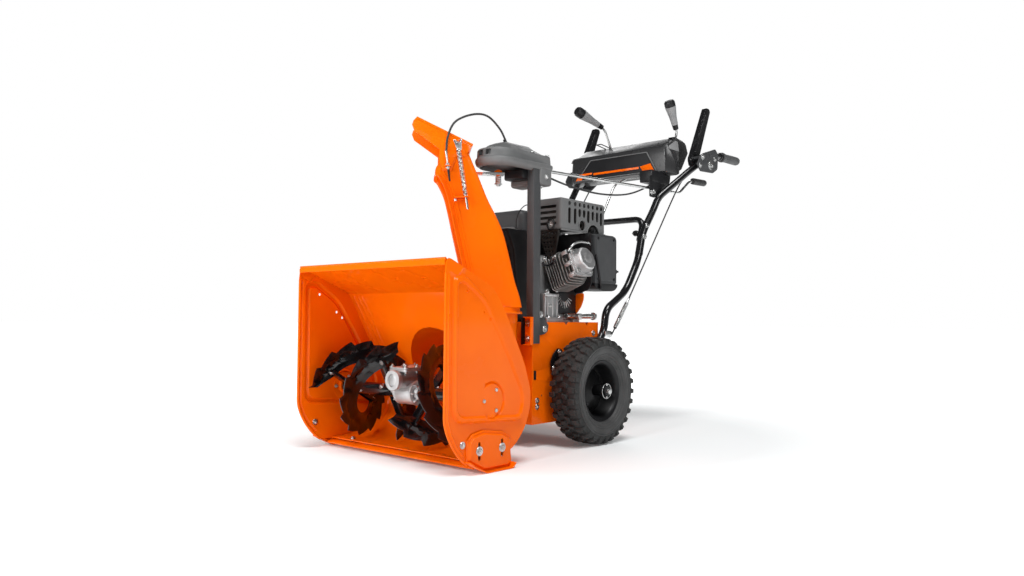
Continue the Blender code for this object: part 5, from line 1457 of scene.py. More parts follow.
def make_block():
    """The crankcase with its side cover, ribs, foot and drain."""
    top = box((0.084, -0.1, 0.466), (0.14, 0.1, 0.6))
    parts = [softened(cut(copy_of("engine_block"), top), 0.0014)]
    for y in (-0.078, -0.052, -0.03):
        parts.append(box((0.1175, y - 0.0022, 0.392), (0.1215, y + 0.0022, 0.462), 0.0012))
    parts.append(box((0.116, -0.096, 0.364), (0.133, -0.012, 0.39), 0.003))
    parts.append(box((0.116, 0.04, 0.364), (0.133, 0.074, 0.385), 0.003))
    parts.append(box((0.115, -0.09, 0.456), (0.121, -0.02, 0.466), 0.002))
    rim = lathe([(0.03, -0.1005), (0.0415, -0.1005), (0.043, -0.0985), (0.043, -0.087), (0.03, -0.087)],
                (0, 0, CRANK_Z), Y, 48)
    place(joined(*parts, rim), "crankcase", CAST, "engine_block")
    for place_at in ((0.127, -0.082, 0.39), (0.127, -0.028, 0.39), (0.127, 0.06, 0.385)):
        gather("crankcase_bolts", bolt(place_at, Z, 0.0055))
    for y, z in ((-0.078, 0.47), (-0.03, 0.478), (-0.0655, 0.4275)):
        gather("crankcase_bolts", bolt((0.119, y, z), X, 0.0044))
    pipe = lathe([(0.006, 0), (0.0086, 0), (0.0092, 0.0012), (0.0092, 0.0085), (0.0083, 0.01),
                  (0.0083, 0.118),
                  (0.0092, 0.12), (0.0092, 0.1285), (0.0125, 0.129), (0.013, 0.13), (0.013, 0.136),
                  (0.012, 0.1375), (0, 0.1375)], (0.13, 0.005, 0.395), (0.1, 0.995, 0), 28)
    place(pipe, "oil_drain_pipe", ZINC)
    dark = plate_x([rounded2([(-0.02, 0.4), (0.071, 0.4), (0.071, 0.47), (0.04, 0.5), (-0.02, 0.47)], 0.006)],
                   0.1178, 0.1192, 0.0004)
    place(dark, "fan_inlet_guard", DARK_PLASTIC_AND_SHADE, finish="black_paint")
    fins = []
    for k in range(10):
        a = radians(196 + 15.5 * k)
        middle = Vector((0.0085, 0.462))
        inner, outer = (middle + Vector((cos(a), sin(a))) * r for r in (0.0215, 0.042))
        fins.append(bar((0.12, inner.x, inner.y), (0.12, outer.x, outer.y), 0.0013, 8, 0.0))
    place(joined(*fins), "fan_fins", ZINC)
    guard = [(0.062, 0.384), (0.078, 0.408), (0.098, 0.438), (0.122, 0.468), (0.15, 0.47), (0.1495, 0.45),
             (0.141, 0.428), (0.125, 0.407), (0.104, 0.392), (0.082, 0.384)]
    place(plate_y([rounded2(guard, 0.006, 4)], 0.0722, 0.0752, 0.0008), "blower_housing_panel", ORANGE)


def make_shroud():
    """The black air shroud behind the cylinder, under the heat guard."""
    outline = rounded2([(-0.02, 0.667), (0.178, 0.667), (0.178, 0.5), (0.166, 0.48), (0.13, 0.47),
                        (0.09, 0.47), (0.09, 0.59), (-0.02, 0.59)], 0.005, 3)
    back = plate_y([outline], 0.0756, 0.078, 0.0006)
    side = box((0.012, -0.09, 0.59), (0.015, 0.077, 0.666), 0.001)
    floor = box((0.012, -0.06, 0.5885), (0.12, 0.077, 0.592), 0.001)
    place(joined(back, side, floor), "air_shroud", DARK_PLASTIC_AND_SHADE)


def make_muffler():
    """A slotted moulded guard over the silencer, with a drilled heat shield hung below its corner."""
    shell = box((0.02, -0.055, 0.668), (0.155, 0.187, 0.772), 0.009, 4)
    room = box((0.0, -0.052, 0.6), (0.152, 0.184, 0.769), 0.006, 2)
    shell = cut(shell, room)
    cutters = []
    for y, low in ((-0.0116, 0.691), (0.0184, 0.691), (0.0434, 0.716), (0.0676, 0.716), (0.091, 0.701),
                   (0.116, 0.712), (0.141, 0.708), (0.164, 0.698)):
        cutters.append(plate_x([slot(y, (0.743 + low) / 2, 0.743 - low, 0.0152, 5)], 0.14, 0.17))
        cutters.append(plate_x([slot(y, 0.756, 0.0155, 0.014, 5)], 0.14, 0.17))
        cutters.append(plate_z([[(0.138 + v, u) for u, v in slot(y, 0, 0.018, 0.012, 4)]], 0.76, 0.78))
    cutters.append(plate_x([circle(0.056, 0.69, 0.0165, 28)], 0.14, 0.17))
    cutters.append(plate_x([circle(0.118, 0.664, 0.033, 36)], 0.14, 0.17))
    for z in (0.69, 0.708, 0.726, 0.744):
        cutters.append(plate_y([[(0.087 + v, z + u) for u, v in slot(0, 0, 0.096, 0.0095, 4)]], -0.07, -0.04))
    for y in (-0.02, 0.02, 0.06, 0.1, 0.14):
        cutters.append(plate_z([[(0.075 + v, u) for u, v in slot(y, 0, 0.08, 0.016, 4)]], 0.76, 0.78))
    shell = cut(shell, joined(*cutters))
    rib = plate_x([rounded2(rectangle(-0.056, 0.666, 0.188, 0.672), 0.002)], 0.1535, 0.1562, 0.0006)
    rib = cut(rib, plate_x([circle(0.118, 0.664, 0.033, 36)], 0.14, 0.17))
    collar = lathe([(0.0168, 0), (0.02, 0), (0.02, 0.0022), (0.0185, 0.003), (0.0168, 0.0022)],
                   (0.1548, 0.056, 0.69), X, 32)
    arch = [(0.118 + 0.0345 * cos(a), 0.664 + 0.0345 * sin(a))
            for a in [radians(t) for t in range(8, 174, 6)]]
    lip = tube([(0.155, y, z) for y, z in arch], 0.0017, 3)
    place(joined(shell, rib, collar, lip), "heat_guard", PALE_PLASTIC, "muffler_cover")
    can = joined(box((0.033, -0.04, 0.674), (0.138, 0.17, 0.758), 0.02, 4),
                 lathe([(0.008, 0), (0.012, 0), (0.012, 0.014), (0.008, 0.014)], (0.136, 0.056, 0.69),
                       X, 24),
                 box((0.032, 0.056, 0.6735), (0.139, 0.06, 0.759), 0.0015))
    place(can, "silencer", SOOT)
    outline = [(0.07, 0.67), (0.142, 0.67), (0.14, 0.646), (0.133, 0.6), (0.129, 0.578),
               (0.112, 0.574), (0.1, 0.582), (0.08, 0.62), (0.07, 0.644)]
    holes = [circle(0.083 + 0.0125 * i + 0.003 * j, 0.658 - 0.0145 * j, 0.0034, 12)
             for j in range(5) for i in range(5 - (j + 1) // 2)]
    shield = plate_y([rounded2(outline, 0.004)] + holes, -0.0565, -0.0548, 0.0003)
    fold = plate_x([rounded2([(-0.0565, 0.669), (-0.047, 0.669), (-0.05, 0.62), (-0.054, 0.579),
                              (-0.0565, 0.579)], 0.001)], 0.0, 0.0016, 0.0004)
    moved(fold, Matrix.Translation((0.129, 0, 0.579)) @ Matrix.Rotation(radians(8.5), 4, "Y")
          @ Matrix.Translation((0, 0, -0.579)))
    place(joined(shield, fold), "drilled_heat_shield", SOOT)
    loop = tube([(0.114 + 0.0135 * cos(t), -0.0575, 0.686 + 0.0175 * sin(t))
                 for t in [TAU * k / 24 for k in range(24)]], 0.0028, 4, closed=True)
    clamp = tube([(0.105 + 0.028 * cos(t), -0.06, 0.576 + 0.02 * sin(t))
                  for t in [radians(a) for a in range(176, 366, 10)]], 0.0035, 4)
    place(joined(loop, clamp), "silencer_clamp", BLACK)
    for x, z in ((0.086, 0.576), (0.124, 0.577)):
        gather("exhaust_nuts", bolt((x, -0.057, z), (0, -1, 0), 0.0056))
    gather("exhaust_nuts", bolt((0.114, -0.056, 0.686), (0, -1, 0), 0.005))
    screw = bolt((0.155, 0.118, 0.679), X, 0.006)
    gather("guard_screws", screw, material=DARK_PLASTIC_AND_SHADE)


def make_heater_box():
    """The carburettor's warm-air box: a grey cover on a black base, with rivets and a strut in front."""
    cover = [(0.092, 0.6655), (0.195, 0.6655), (0.212, 0.661), (0.217, 0.652), (0.217, 0.508),
             (0.212, 0.503), (0.092, 0.503)]
    upper = plate_x([rounded2(cover, 0.004)], 0.113, 0.181, 0.005, 4)
    panel = plate_x([rounded2([(0.102, 0.658), (0.204, 0.658), (0.21, 0.65), (0.21, 0.512),
                               (0.102, 0.512)], 0.006)], 0.179, 0.1818, 0.0012)
    place(joined(upper, panel), "warm_air_cover", PLASTIC, "heater_box")
    base = plate_x([rounded2([(0.093, 0.5036), (0.227, 0.5036), (0.223, 0.493), (0.21, 0.483), (0.19, 0.479),
                              (0.135, 0.4785), (0.11, 0.484), (0.093, 0.496)], 0.006)], 0.115, 0.18,
                   0.005, 4)
    place(base, "warm_air_base", DARK_PLASTIC_AND_SHADE)
    boss = lathe([(0, 0), (0.015, 0), (0.015, 0.008), (0.0125, 0.0116), (0, 0.0116)], (0.16, 0.216, 0.548),
                 Y, 32)
    place(boss, "choke_boss", DARK_PLASTIC_AND_SHADE)
    strut = joined(tube([(0.185, 0.09, 0.598), (0.185, 0.099, 0.576), (0.184, 0.122, 0.49)], 0.0042, 4),
                   bar((0.18, 0.122, 0.49), (0.188, 0.122, 0.49), 0.0065, 18, 0.001))
    place(strut, "throttle_strut", DARK_PLASTIC_AND_SHADE)
    for y, z in ((0.11, 0.652), (0.2, 0.652), (0.11, 0.518), (0.202, 0.518)):
        gather("cover_screws", bolt((0.1817, y, z), X, 0.0036, washer=False), material=DARK_PLASTIC_AND_SHADE)
    for x, z in ((0.13, 0.64), (0.13, 0.53)):
        gather("cover_screws", bolt((x, 0.2169, z), Y, 0.004, washer=False), material=DARK_PLASTIC_AND_SHADE)


def make_tank():
    """A moulded tank with rounded edges, a seam, a ribbed cap, a wire carrier and its bracket."""
    tank = box((-0.16, -0.075, 0.61), (0.008, 0.15, 0.745), 0.026, 5)
    seam = box((-0.1615, -0.0765, 0.674), (0.0095, 0.1515, 0.679), 0.002)
    neck = lathe([(0, 0.74), (0.027, 0.74), (0.027, 0.752), (0, 0.752)], (-0.045, 0.095, 0), Z, 40)
    place(joined(tank, seam, neck), "fuel_tank_shell", PLASTIC, "fuel_tank")
    parts = [lathe([(0, 0.75), (0.029, 0.75), (0.0298, 0.751), (0.0298, 0.764), (0.0275, 0.768),
                    (0.014, 0.769), (0, 0.769)], (-0.045, 0.095, 0), Z, 48)]
    for k in range(18):
        a = TAU * k / 18
        rib = box((0.0288, -0.0018, 0.7508), (0.031, 0.0018, 0.765), 0.0006)
        parts.append(moved(rib, Matrix.Translation((-0.045, 0.095, 0)) @ Matrix.Rotation(a, 4, "Z")))
    place(joined(*parts), "fuel_cap", DARK_PLASTIC_AND_SHADE)
    wire = tube(smooth_route([(-0.004, -0.09, 0.68), (-0.002, -0.09, 0.708), (0.01, -0.088, 0.735),
                              (0.03, -0.08, 0.753), (0.045, -0.06, 0.748)], 6), 0.0016, 4)
    place(wire, "breather_hose", DARK_PLASTIC_AND_SHADE, finish="grip_rubber")
    bracket = joined(
        plate_y([rounded2([(-0.11, 0.59), (0.0, 0.59), (0.0, 0.67), (-0.02, 0.686), (-0.11, 0.686)],
                          0.008)], -0.086, -0.083, 0.0006),
        box((-0.11, -0.086, 0.588), (0.0, -0.05, 0.5915), 0.001))
    place(bracket, "tank_bracket", PALE_PLASTIC, finish="black_paint")
    for x in (-0.09, -0.045):
        gather("tank_bolts", bolt((x, -0.0861, 0.648), (0, -1, 0), 0.0058))


def make_belt_cover():
    """The moulded belt cover with a raised border and three screws."""
    place(softened(copy_of("belt_cover"), 0.003, 3), "belt_cover_shell", DARK_PLASTIC_AND_SHADE, "belt_cover")
    outer = rounded2([(-0.106, 0.385), (-0.106, 0.449), (-0.089, 0.597), (-0.062, 0.656), (0.062, 0.656),
                      (0.089, 0.597), (0.106, 0.449), (0.106, 0.385)], 0.01, 4)
    inner = rounded2([(-0.096, 0.395), (-0.096, 0.448), (-0.08, 0.592), (-0.056, 0.646), (0.056, 0.646),
                      (0.08, 0.592), (0.096, 0.448), (0.096, 0.395)], 0.01, 4)
    place(plate_y([outer, inner], -0.2122, -0.21, 0.0006), "belt_cover_border", DARK_PLASTIC_AND_SHADE)
    for x, z in ((-0.1, 0.4), (0.1, 0.4), (0.0, 0.651)):
        gather("belt_cover_screws", bolt((x, -0.2118, z), (0, -1, 0), 0.0046))


def make_recoil():
    """The recoil starter's vented cowl, its guide and T-grip."""
    cowl = lathe([(0.104, 0.0765), (0.108, 0.0765), (0.112, 0.082), (0.112, 0.12), (0.1105, 0.1245),
                  (0.1005, 0.139),
                  (0.096, 0.1425), (0.076, 0.149), (0.0725, 0.153), (0.07, 0.17), (0.068, 0.173),
                  (0.03, 0.1775), (0, 0.178), (0, 0.136), (0.072, 0.136), (0.104, 0.118)], (0, 0, CRANK_Z),
                 Y, 72)
    cutters = []
    for k in range(24):
        a = TAU * k / 24
        vent = box((0.078, -0.0042, 0.1), (0.096, 0.0042, 0.16), 0.0012)
        turn = Matrix.Translation((0, 0, CRANK_Z)) @ Matrix.Rotation(a, 4, "Y") @ Matrix.Rotation(-pi / 2, 4,
                                                                                                  "X")
        moved(vent, turn)
        cutters.append(vent)
    cowl = cut(cowl, joined(*cutters))
    guide = cut(box((-0.075, 0.128, 0.57), (-0.045, 0.15, 0.6035), 0.005, 3),
                bar((-0.06, 0.12, 0.587), (-0.06, 0.17, 0.587), 0.0035))
    place(joined(cowl, guide), "recoil_cowl", DARK_PLASTIC_AND_SHADE, "recoil_housing")
    grip = joined(lathe([(0, -0.03), (0.007, -0.03), (0.0095, -0.027), (0.0085, -0.012), (0.0095, 0.0),
                         (0.0085, 0.012), (0.0095, 0.027), (0.007, 0.03), (0, 0.03)],
                        (-0.06, 0.164, 0.587), X, 28),
                  lathe([(0, 0), (0.0058, 0), (0.007, 0.002), (0.007, 0.015), (0, 0.015)],
                        (-0.06, 0.1508, 0.587), Y, 24))
    place(grip, "recoil_grip", DARK_PLASTIC_AND_SHADE, "recoil_handle")
    for k in range(3):
        a = radians(30 + 120 * k)
        gather("recoil_screws", bolt((0.1085 * cos(a), 0.127, CRANK_Z + 0.1085 * sin(a)), Y, 0.0042))
    knob = joined(lathe([(0, 0), (0.01, 0), (0.011, 0.0012), (0.0106, 0.009), (0.0095, 0.0102), (0, 0.0102)],
                        (0.16, 0.2293, 0.548), Y, 28),
                  box((0.1486, 0.2385, 0.5446), (0.1714, 0.2462, 0.5514), 0.0016, 3))
    place(knob, "choke_knob_moulding", DARK_PLASTIC_AND_SHADE, "choke_knob")


make_cylinder()
make_lead()
make_block()
make_shroud()
make_muffler()
make_heater_box()
make_tank()
make_belt_cover()
make_recoil()
# ---------------------------------------------------------------- handlebars and controls

GRIP_X = 0.285
LEVER_X = 0.256
LEVER_PIVOT = (0.6, 0.985)


def make_handlebars():
    path = [(0.1835, 0.112, 0.312), (0.1835, 0.142, 0.35), (0.1835, 0.152, 0.417), (0.1835, 0.272, 0.483),
            (0.1835, 0.348, 0.592), (0.1835, 0.376, 0.69), (0.195, 0.432, 0.78), (0.203, 0.452, 0.826),
            (0.262, 0.606, 0.952), (GRIP_X, 0.7, 1.008), (GRIP_X, 0.76, 1.0135), (GRIP_X, 0.9, 1.0185)]
    bar_tube = tube(rounded(path, 0.04, 8), 0.0125, 6)
    sleeve = tube([(0.1835, 0.354, 0.613), (0.1835, 0.3745, 0.685)], 0.0136, 6)
    collar = tube([(0.1835, 0.355, 0.6165), (0.1835, 0.3561, 0.6205)], 0.0141, 6)
    place_pair(joined(bar_tube, sleeve, collar), "handlebar_tube", BLACK, "handlebar")
    cross = [(0.158, 0.398, 0.668), (0.158, 0.428, 0.75), (-0.158, 0.428, 0.75), (-0.158, 0.398, 0.668)]
    place(tube(rounded(cross, 0.05, 9), 0.0115, 6), "handlebar_crossbar_tube", BLACK, "handlebar_crossbar")
    for z, y in ((0.678, 0.372), (0.718, 0.388)):
        head = bolt((0.1965, y, z), X, 0.005)
        gather("handlebar_bolts", head, both=True)
    knob = lathe([(0, 0), (0.006, 0), (0.0105, 0.003), (0.0112, 0.012), (0.0095, 0.0165), (0.004, 0.0175),
                  (0, 0.0175)], (0.15, 0.401, 0.696), (-1, 0, 0), 8, 20)
    stud = bar((0.17, 0.401, 0.696), (0.127, 0.401, 0.696), 0.0034, 16)
    place_pair(knob, "handlebar_clamp_knob", DARK_PLASTIC_AND_SHADE, finish="grip_rubber")
    gather("handlebar_bolts", stud, both=True)


def make_grips():
    start, end = Vector((GRIP_X, 0.78, 1.0142)), Vector((GRIP_X, 0.9155, 1.019))
    length = (end - start).length
    profile = [(0, length), (0.012, length), (0.015, length - 0.002), (0.0163, length - 0.007),
               (0.0166, 0.08),
               (0.0159, 0.045), (0.0164, 0.014), (0.0186, 0.0095), (0.019, 0.003), (0.018, 0.0),
               (0.0128, 0.0),
               (0.0128, length - 0.004), (0, length - 0.004)]
    place_pair(lathe(profile, start, end - start, 40), "foam_grip", FOAM, "grip")
    band = lathe([(0.0127, 0), (0.0148, 0), (0.0152, 0.0012), (0.0152, 0.0075), (0.0127, 0.0085)],
                 (GRIP_X, 0.76, 1.0135), end - start, 32)
    place_pair(band, "grip_collar", DARK_PLASTIC_AND_SHADE, finish="grip_rubber")


def make_console():
    """The console with its framed front panel, plain stripe, corner facets with grey plates of painted
    reflection, slots and the parts below.
    """
    body = softened(copy_of("control_panel"), 0.004, 3)
    slots = []
    for x, y0, y1 in ((0.19, 0.572, 0.628), (-0.1, 0.515, 0.628)):
        slots.append(box((x - 0.0085, y0, 1.056), (x + 0.0085, y1, 1.07), 0.002))
    place(cut(body, joined(*slots)), "console_body", GLOSS, "control_panel")
    for x, y0, y1 in ((0.19, 0.566, 0.634), (-0.1, 0.509, 0.634)):
        outer = rectangle(x - 0.0135, y0, x + 0.0135, y1)
        hole = rectangle(x - 0.0085, y0 + 0.006, x + 0.0085, y1 - 0.006)
        frame_plate = plate_z([rounded2(outer, 0.005), rounded2(hole, 0.004)], -0.0006, 0.0012, 0.0004)
        tilt = Matrix.Translation((0, 0.6, 1.0636)) @ Matrix.Rotation(radians(-5.1), 4, "X")
        side = "left" if x > 0 else "right"
        place(moved(frame_plate, tilt @ Matrix.Translation((0, -0.6, 0))), "console_slot_" + side,
              DARK_PLASTIC_AND_SHADE)

    def trapezoid(d):
        return [(-0.188 + 1.9 * d, 0.931 + d), (-0.124 + 0.9 * d, 1.008 - d), (0.133 - 0.9 * d, 1.008 - d),
                (0.176 - 1.9 * d, 0.931 + d)]
    border = plate_y([rounded2(trapezoid(0.0), 0.004), rounded2(trapezoid(0.0028), 0.003)], 0.4872, 0.4912,
                     0.0005)
    place(border, "console_panel_border", PALE_PLASTIC)
    panel = plate_y([rounded2(trapezoid(0.003), 0.003)], 0.4886, 0.491, 0.0003)
    place(panel, "console_panel", DARK_PLASTIC_AND_SHADE)
    bands = [[(-0.193, 0.933), (-0.174, 0.958), (-0.115, 0.959), (-0.115, 0.952), (-0.152, 0.951),
              (-0.166, 0.933)],
             [(-0.108, 0.956), (0.098, 0.956), (0.098, 0.948), (-0.108, 0.948)],
             [(0.103, 0.956), (0.148, 0.963), (0.166, 0.932), (0.121, 0.931)]]
    bands = [plate_y([rounded2(band, 0.0012)], 0.4874, 0.4888, 0.0002) for band in bands]
    place(joined(*bands), "console_stripes", ORANGE)
    foot = plate_y([rounded2([(-0.115, 0.928), (0.1, 0.928), (0.09, 0.9175), (-0.105, 0.9175)], 0.003)],
                   0.49, 0.515, 0.002)
    place(foot, "console_lower_lip", PALE_PLASTIC)
    top = plate_x([[(0.4935, 1.0225), (0.57, 1.064), (0.5708, 1.0655), (0.4938, 1.024)]], -0.195, 0.195,
                  0.0005)
    place(top, "console_top_panel", DARK_PLASTIC_AND_SHADE)
    # A grey plate on each corner facet is a painted reflection on the black console.
    facet = plate_x([rounded2([(0.498, -0.025), (0.501, -0.012), (0.56, 0.018), (0.578, 0.016),
                               (0.564, -0.025)], 0.002)], -0.0012, 0.0012, 0.0005)
    moved(facet, Matrix.Translation((0.2158, 0, 1.033)) @ Matrix.Rotation(radians(-17.8), 4, "Y"))
    place_pair(facet, "console_corner_painted_reflection", GREY_PLASTIC_AND_REFLECTION)
    under = box((0.148, 0.414, 0.88), (0.201, 0.534, 0.924), 0.004, 3)
    hook = plate_x([rounded2([(0.3995, 0.898), (0.3997, 0.8241), (0.4331, 0.8231), (0.54, 0.892),
                              (0.5465, 0.9331), (0.47, 0.926)], 0.006)], 0.1978, 0.2002, 0.0006)
    place(joined(under, hook), "console_bracket", DARK_PLASTIC_AND_SHADE, finish="black_paint")
    for y, z in ((0.413, 0.84), (0.43, 0.844)):
        gather("console_bolts", bolt((0.2002, y, z), X, 0.0046))
    for x in (-0.17, 0.12):
        strap = plate_x([rounded2([(0.515, 0.918), (0.5, 0.905), (0.515, 0.895), (0.56, 0.9), (0.6, 0.93),
                                   (0.6, 0.945)], 0.006)], x - 0.0012, x + 0.0012, 0.0005)
        place(strap, "console_strap_" + ("left" if x > 0 else "right"), BLACK)
    rod = tube(rounded([(0.028, 0.52, 0.925), (0.03, 0.43, 0.888), (0.03, 0.366, 0.787), (0.028, 0.29, 0.66),
                        (0.026, 0.215, 0.5), (0.024, 0.16, 0.385), (0.024, 0.12, 0.372)], 0.03, 6), 0.004, 5)
    place(rod, "shift_rod", ZINC)


def make_blades():
    """The two clutch levers: tall moulded blades with a raised rib and a pivot boss."""
    loop = rounded2([(0.594, 0.956), (0.584, 0.98), (0.692, 1.182), (0.698, 1.193), (0.724, 1.195),
                     (0.733, 1.185), (0.642, 0.985), (0.632, 0.956)], 0.007, 4)
    hole = circle(LEVER_PIVOT[0], LEVER_PIVOT[1], 0.0054, 24)
    blade = plate_x([loop, hole], LEVER_X - 0.008, LEVER_X + 0.008, 0.0036, 3)
    rib = plate_x([rounded2([(0.606, 1.01), (0.696, 1.17), (0.706, 1.165), (0.618, 1.006)], 0.004)],
                  LEVER_X - 0.0092, LEVER_X + 0.0092, 0.0012)
    boss = lathe([(0.0054, -0.0098), (0.01, -0.0098), (0.011, -0.0088), (0.011, 0.0088), (0.01, 0.0098),
                  (0.0054, 0.0098)], (LEVER_X, *LEVER_PIVOT), X, 32)
    blade = joined(blade, rib, boss)
    place(mirrored(blade), "auger_clutch_blade", BLACK, "auger_lever")
    place(blade, "traction_clutch_blade", BLACK, "traction_lever")


def make_lever_brackets():
    bracket = softened(copy_of("lever_bracket_left"), 0.001)
    web = plate_x([rounded2([(0.585, 0.93), (0.56, 0.952), (0.585, 0.99), (0.606, 1.0), (0.7, 1.03),
                             (0.722, 1.012), (0.716, 0.955), (0.68, 0.936)], 0.01, 5),
                   slot(0.65, 0.99, 0.026, 0.008, 6)], GRIP_X + 0.0131, GRIP_X + 0.0178, 0.001)
    clamp = lathe([(0.0127, 0), (0.0133, 0), (0.0136, 0.0006), (0.0136, 0.0114), (0.0133, 0.012),
                   (0.0127, 0.012)],
                  (0.279, 0.6752, 0.9932), (0.206, 0.841, 0.501), 32)
    place_pair(joined(bracket, web, clamp), "lever_bracket_plate", PLASTIC, "lever_bracket")
    for y, z, size in ((0.66, 0.964, 0.009), (0.6, 0.985, 0.006), (0.58, 0.95, 0.0046),
                       (0.695, 0.99, 0.0046)):
        head = bolt((GRIP_X + 0.0178, y, z), X, size)
        gather("lever_bracket_bolts", head, both=True)


def hand_lever(node, foot, bend, tip, facing):
    """A steel rod carrying a waisted grip with a pale inlay on one side and a dark cap."""
    foot, bend, tip = Vector(foot), Vector(bend), Vector(tip)
    rod = tube(rounded([foot, bend, tip.lerp(bend, 0.5)], 0.022, 8), 0.0045, 6)
    place(rod, node + "_rod", ZINC, node)
    start = bend.lerp(tip, 0.08)
    length = (tip - start).length + 0.005
    profile = [(0, 0), (0.0078, 0), (0.0098, 0.002), (0.0108, length * 0.12), (0.0128, length * 0.4),
               (0.0175, length * 0.66), (0.0205, length * 0.84), (0.0198, length * 0.94),
               (0.0155, length * 0.99),
               (0, length)]
    place(lathe(profile, start, tip - start, 28), node + "_grip", DARK_PLASTIC_AND_SHADE, body=node)
    pale = [(0.006, length * 0.16), (0.0117, length * 0.17), (0.0136, length * 0.42), (0.0184, length * 0.67),
            (0.0206, length * 0.78), (0.006, length * 0.79)]
    inlay = lathe(pale, start, tip - start, 40)
    along = (tip - start).normalized()
    away = Vector(facing) - along * Vector(facing).dot(along)
    away.normalize()
    keep = box((-0.03, -0.014, 0.0), (0.03, 0.014, 0.15))
    axes = Matrix((along, along.cross(away), away)).transposed().to_4x4()
    keep_at = Matrix.Translation(start.lerp(tip, 0.5)) @ axes
    blocks = [box((-0.09, -0.04, -0.06), (0.09, 0.04, 0.0035)),
              box((-0.09, 0.0118, -0.06), (0.09, 0.05, 0.06)),
              box((-0.09, -0.05, -0.06), (0.09, -0.0118, 0.06))]
    bpy.data.objects.remove(keep, do_unlink=True)
    for block in blocks:
        moved(block, keep_at)
    inlay = cut(inlay, *blocks)
    place(inlay, node + "_inlay", GREY_PLASTIC_AND_REFLECTION, body=node, finish="grip_rubber")


def make_crank():
    elbow, arm, grip0, grip1 = (0.2, 0.6073, 0.8619), (0.2, 0.683, 0.9148), (0.2, 0.7103, 0.9213), \
        (0.2, 0.8072, 0.9263)
    path = [(0.15, -0.13, 0.843), elbow, arm, grip0, Vector(grip0).lerp(Vector(grip1), 0.3)]
    place(tube(rounded(path, 0.018, 8), 0.005, 6), "chute_crank_rod", ZINC, "chute_crank")
    length = (Vector(grip1) - Vector(grip0)).length
    profile = [(0.0046, 0), (0.0098, 0), (0.0118, 0.0022)]
    for k in range(5):
        at = 0.014 + 0.015 * k
        profile += [(0.0125, at - 0.005), (0.0125, at), (0.0116, at + 0.0014), (0.0125, at + 0.0028)]
    profile += [(0.0125, length - 0.004), (0.0112, length), (0, length)]
    place(lathe(profile, grip0, Vector(grip1) - Vector(grip0), 32), "chute_crank_grip", GRIP,
          body="chute_crank")


def make_cables():
    arch = [(0.1045, -0.262, 0.9155), (0.102, -0.29, 0.952), (0.094, -0.335, 0.982), (0.082, -0.385, 0.979),
            chute_point(0.132, 0.949, -0.0665), chute_point(0.1535, 0.905, CABLE_W),
            chute_point(0.1585, 0.86, CABLE_W)]
    route, middle = smooth_route(arch, 8), 4 * 8
    place(tube(route[:middle + 2], 0.0031, 5), "deflector_cable_arch", GRIP, "deflector_cable_front",
          across=("frame", "chute", route[0], route[middle]))
    place(tube(route[middle:], 0.0031, 5), "deflector_cable_end", GRIP,
          across=("chute", "deflector", route[middle], route[-1]))
    run = [(0.138, -0.1295, 0.832), (0.144, 0.0, 0.814), (0.15, 0.16, 0.808), (0.155, 0.32, 0.826),
           (0.16, 0.45, 0.87), (0.162, 0.52, 0.912)]
    place(tube(smooth_route(run, 8), 0.003, 5), "deflector_cable_run", GRIP, "deflector_cable_rear")
    drop = [(0.22, 0.65, 0.949), (0.211, 0.577, 0.874), (0.206, 0.42, 0.666), (0.202, 0.2544, 0.4467),
            (0.2, 0.164, 0.3364)]
    wire = tube(smooth_route(drop, 6), 0.0025, 5)
    top, low = Vector((0.202, 0.25, 0.4412)), Vector((0.2001, 0.18, 0.356))
    spring = coil(low, top, 0.0058, 0.0014, 36, 12, 1)
    ferrule = lathe([(0.0019, 0), (0.0034, 0), (0.0036, 0.001), (0.0036, 0.02), (0.003, 0.022),
                     (0.0019, 0.022)],
                    top, top - low, 18)
    hook = tube([tuple(low + Vector((0, -0.0036, -0.0044)) * (k / 3)) for k in range(4)], 0.0014, 4)
    place_pair(wire, "clutch_cable_wire", GRIP, "clutch_cable")
    place_pair(joined(spring, ferrule, hook), "clutch_cable_spring", ZINC)
    anchor = plate_x([rounded2([(0.127, 0.33), (0.127, 0.348), (0.156, 0.348), (0.17, 0.342),
                                (0.17, 0.33), (0.156, 0.324)], 0.004)], 0.1965, 0.1985, 0.0004)
    place_pair(anchor, "clutch_spring_anchor", ZINC)


make_handlebars()
make_grips()
make_console()
make_blades()
make_lever_brackets()
hand_lever("deflector_lever", (0.19, 0.6, 1.069), (0.19, 0.608, 1.095), (0.19, 0.552, 1.2), (0.6, -0.8, 0.0))
hand_lever("speed_lever", (-0.1, 0.596, 1.069), (-0.108, 0.562, 1.144), (-0.14, 0.424, 1.1935),
           (0.5, -0.6, -0.4))
make_crank()
make_cables()
# ---------------------------------------------------------------- every other node keeps its shape

for (body, name, material), pieces in HARDWARE.items():
    place(joined(*pieces), name, material, body=body, finish="")

for node, obj in frame["nodes"].items():
    if not obj.hide_render:
        place(softened(copy_of(node), 0.0008), node + "_body", FINISH[SLOT_OF[node]], node)

# ---------------------------------------------------------------- floor, light and camera


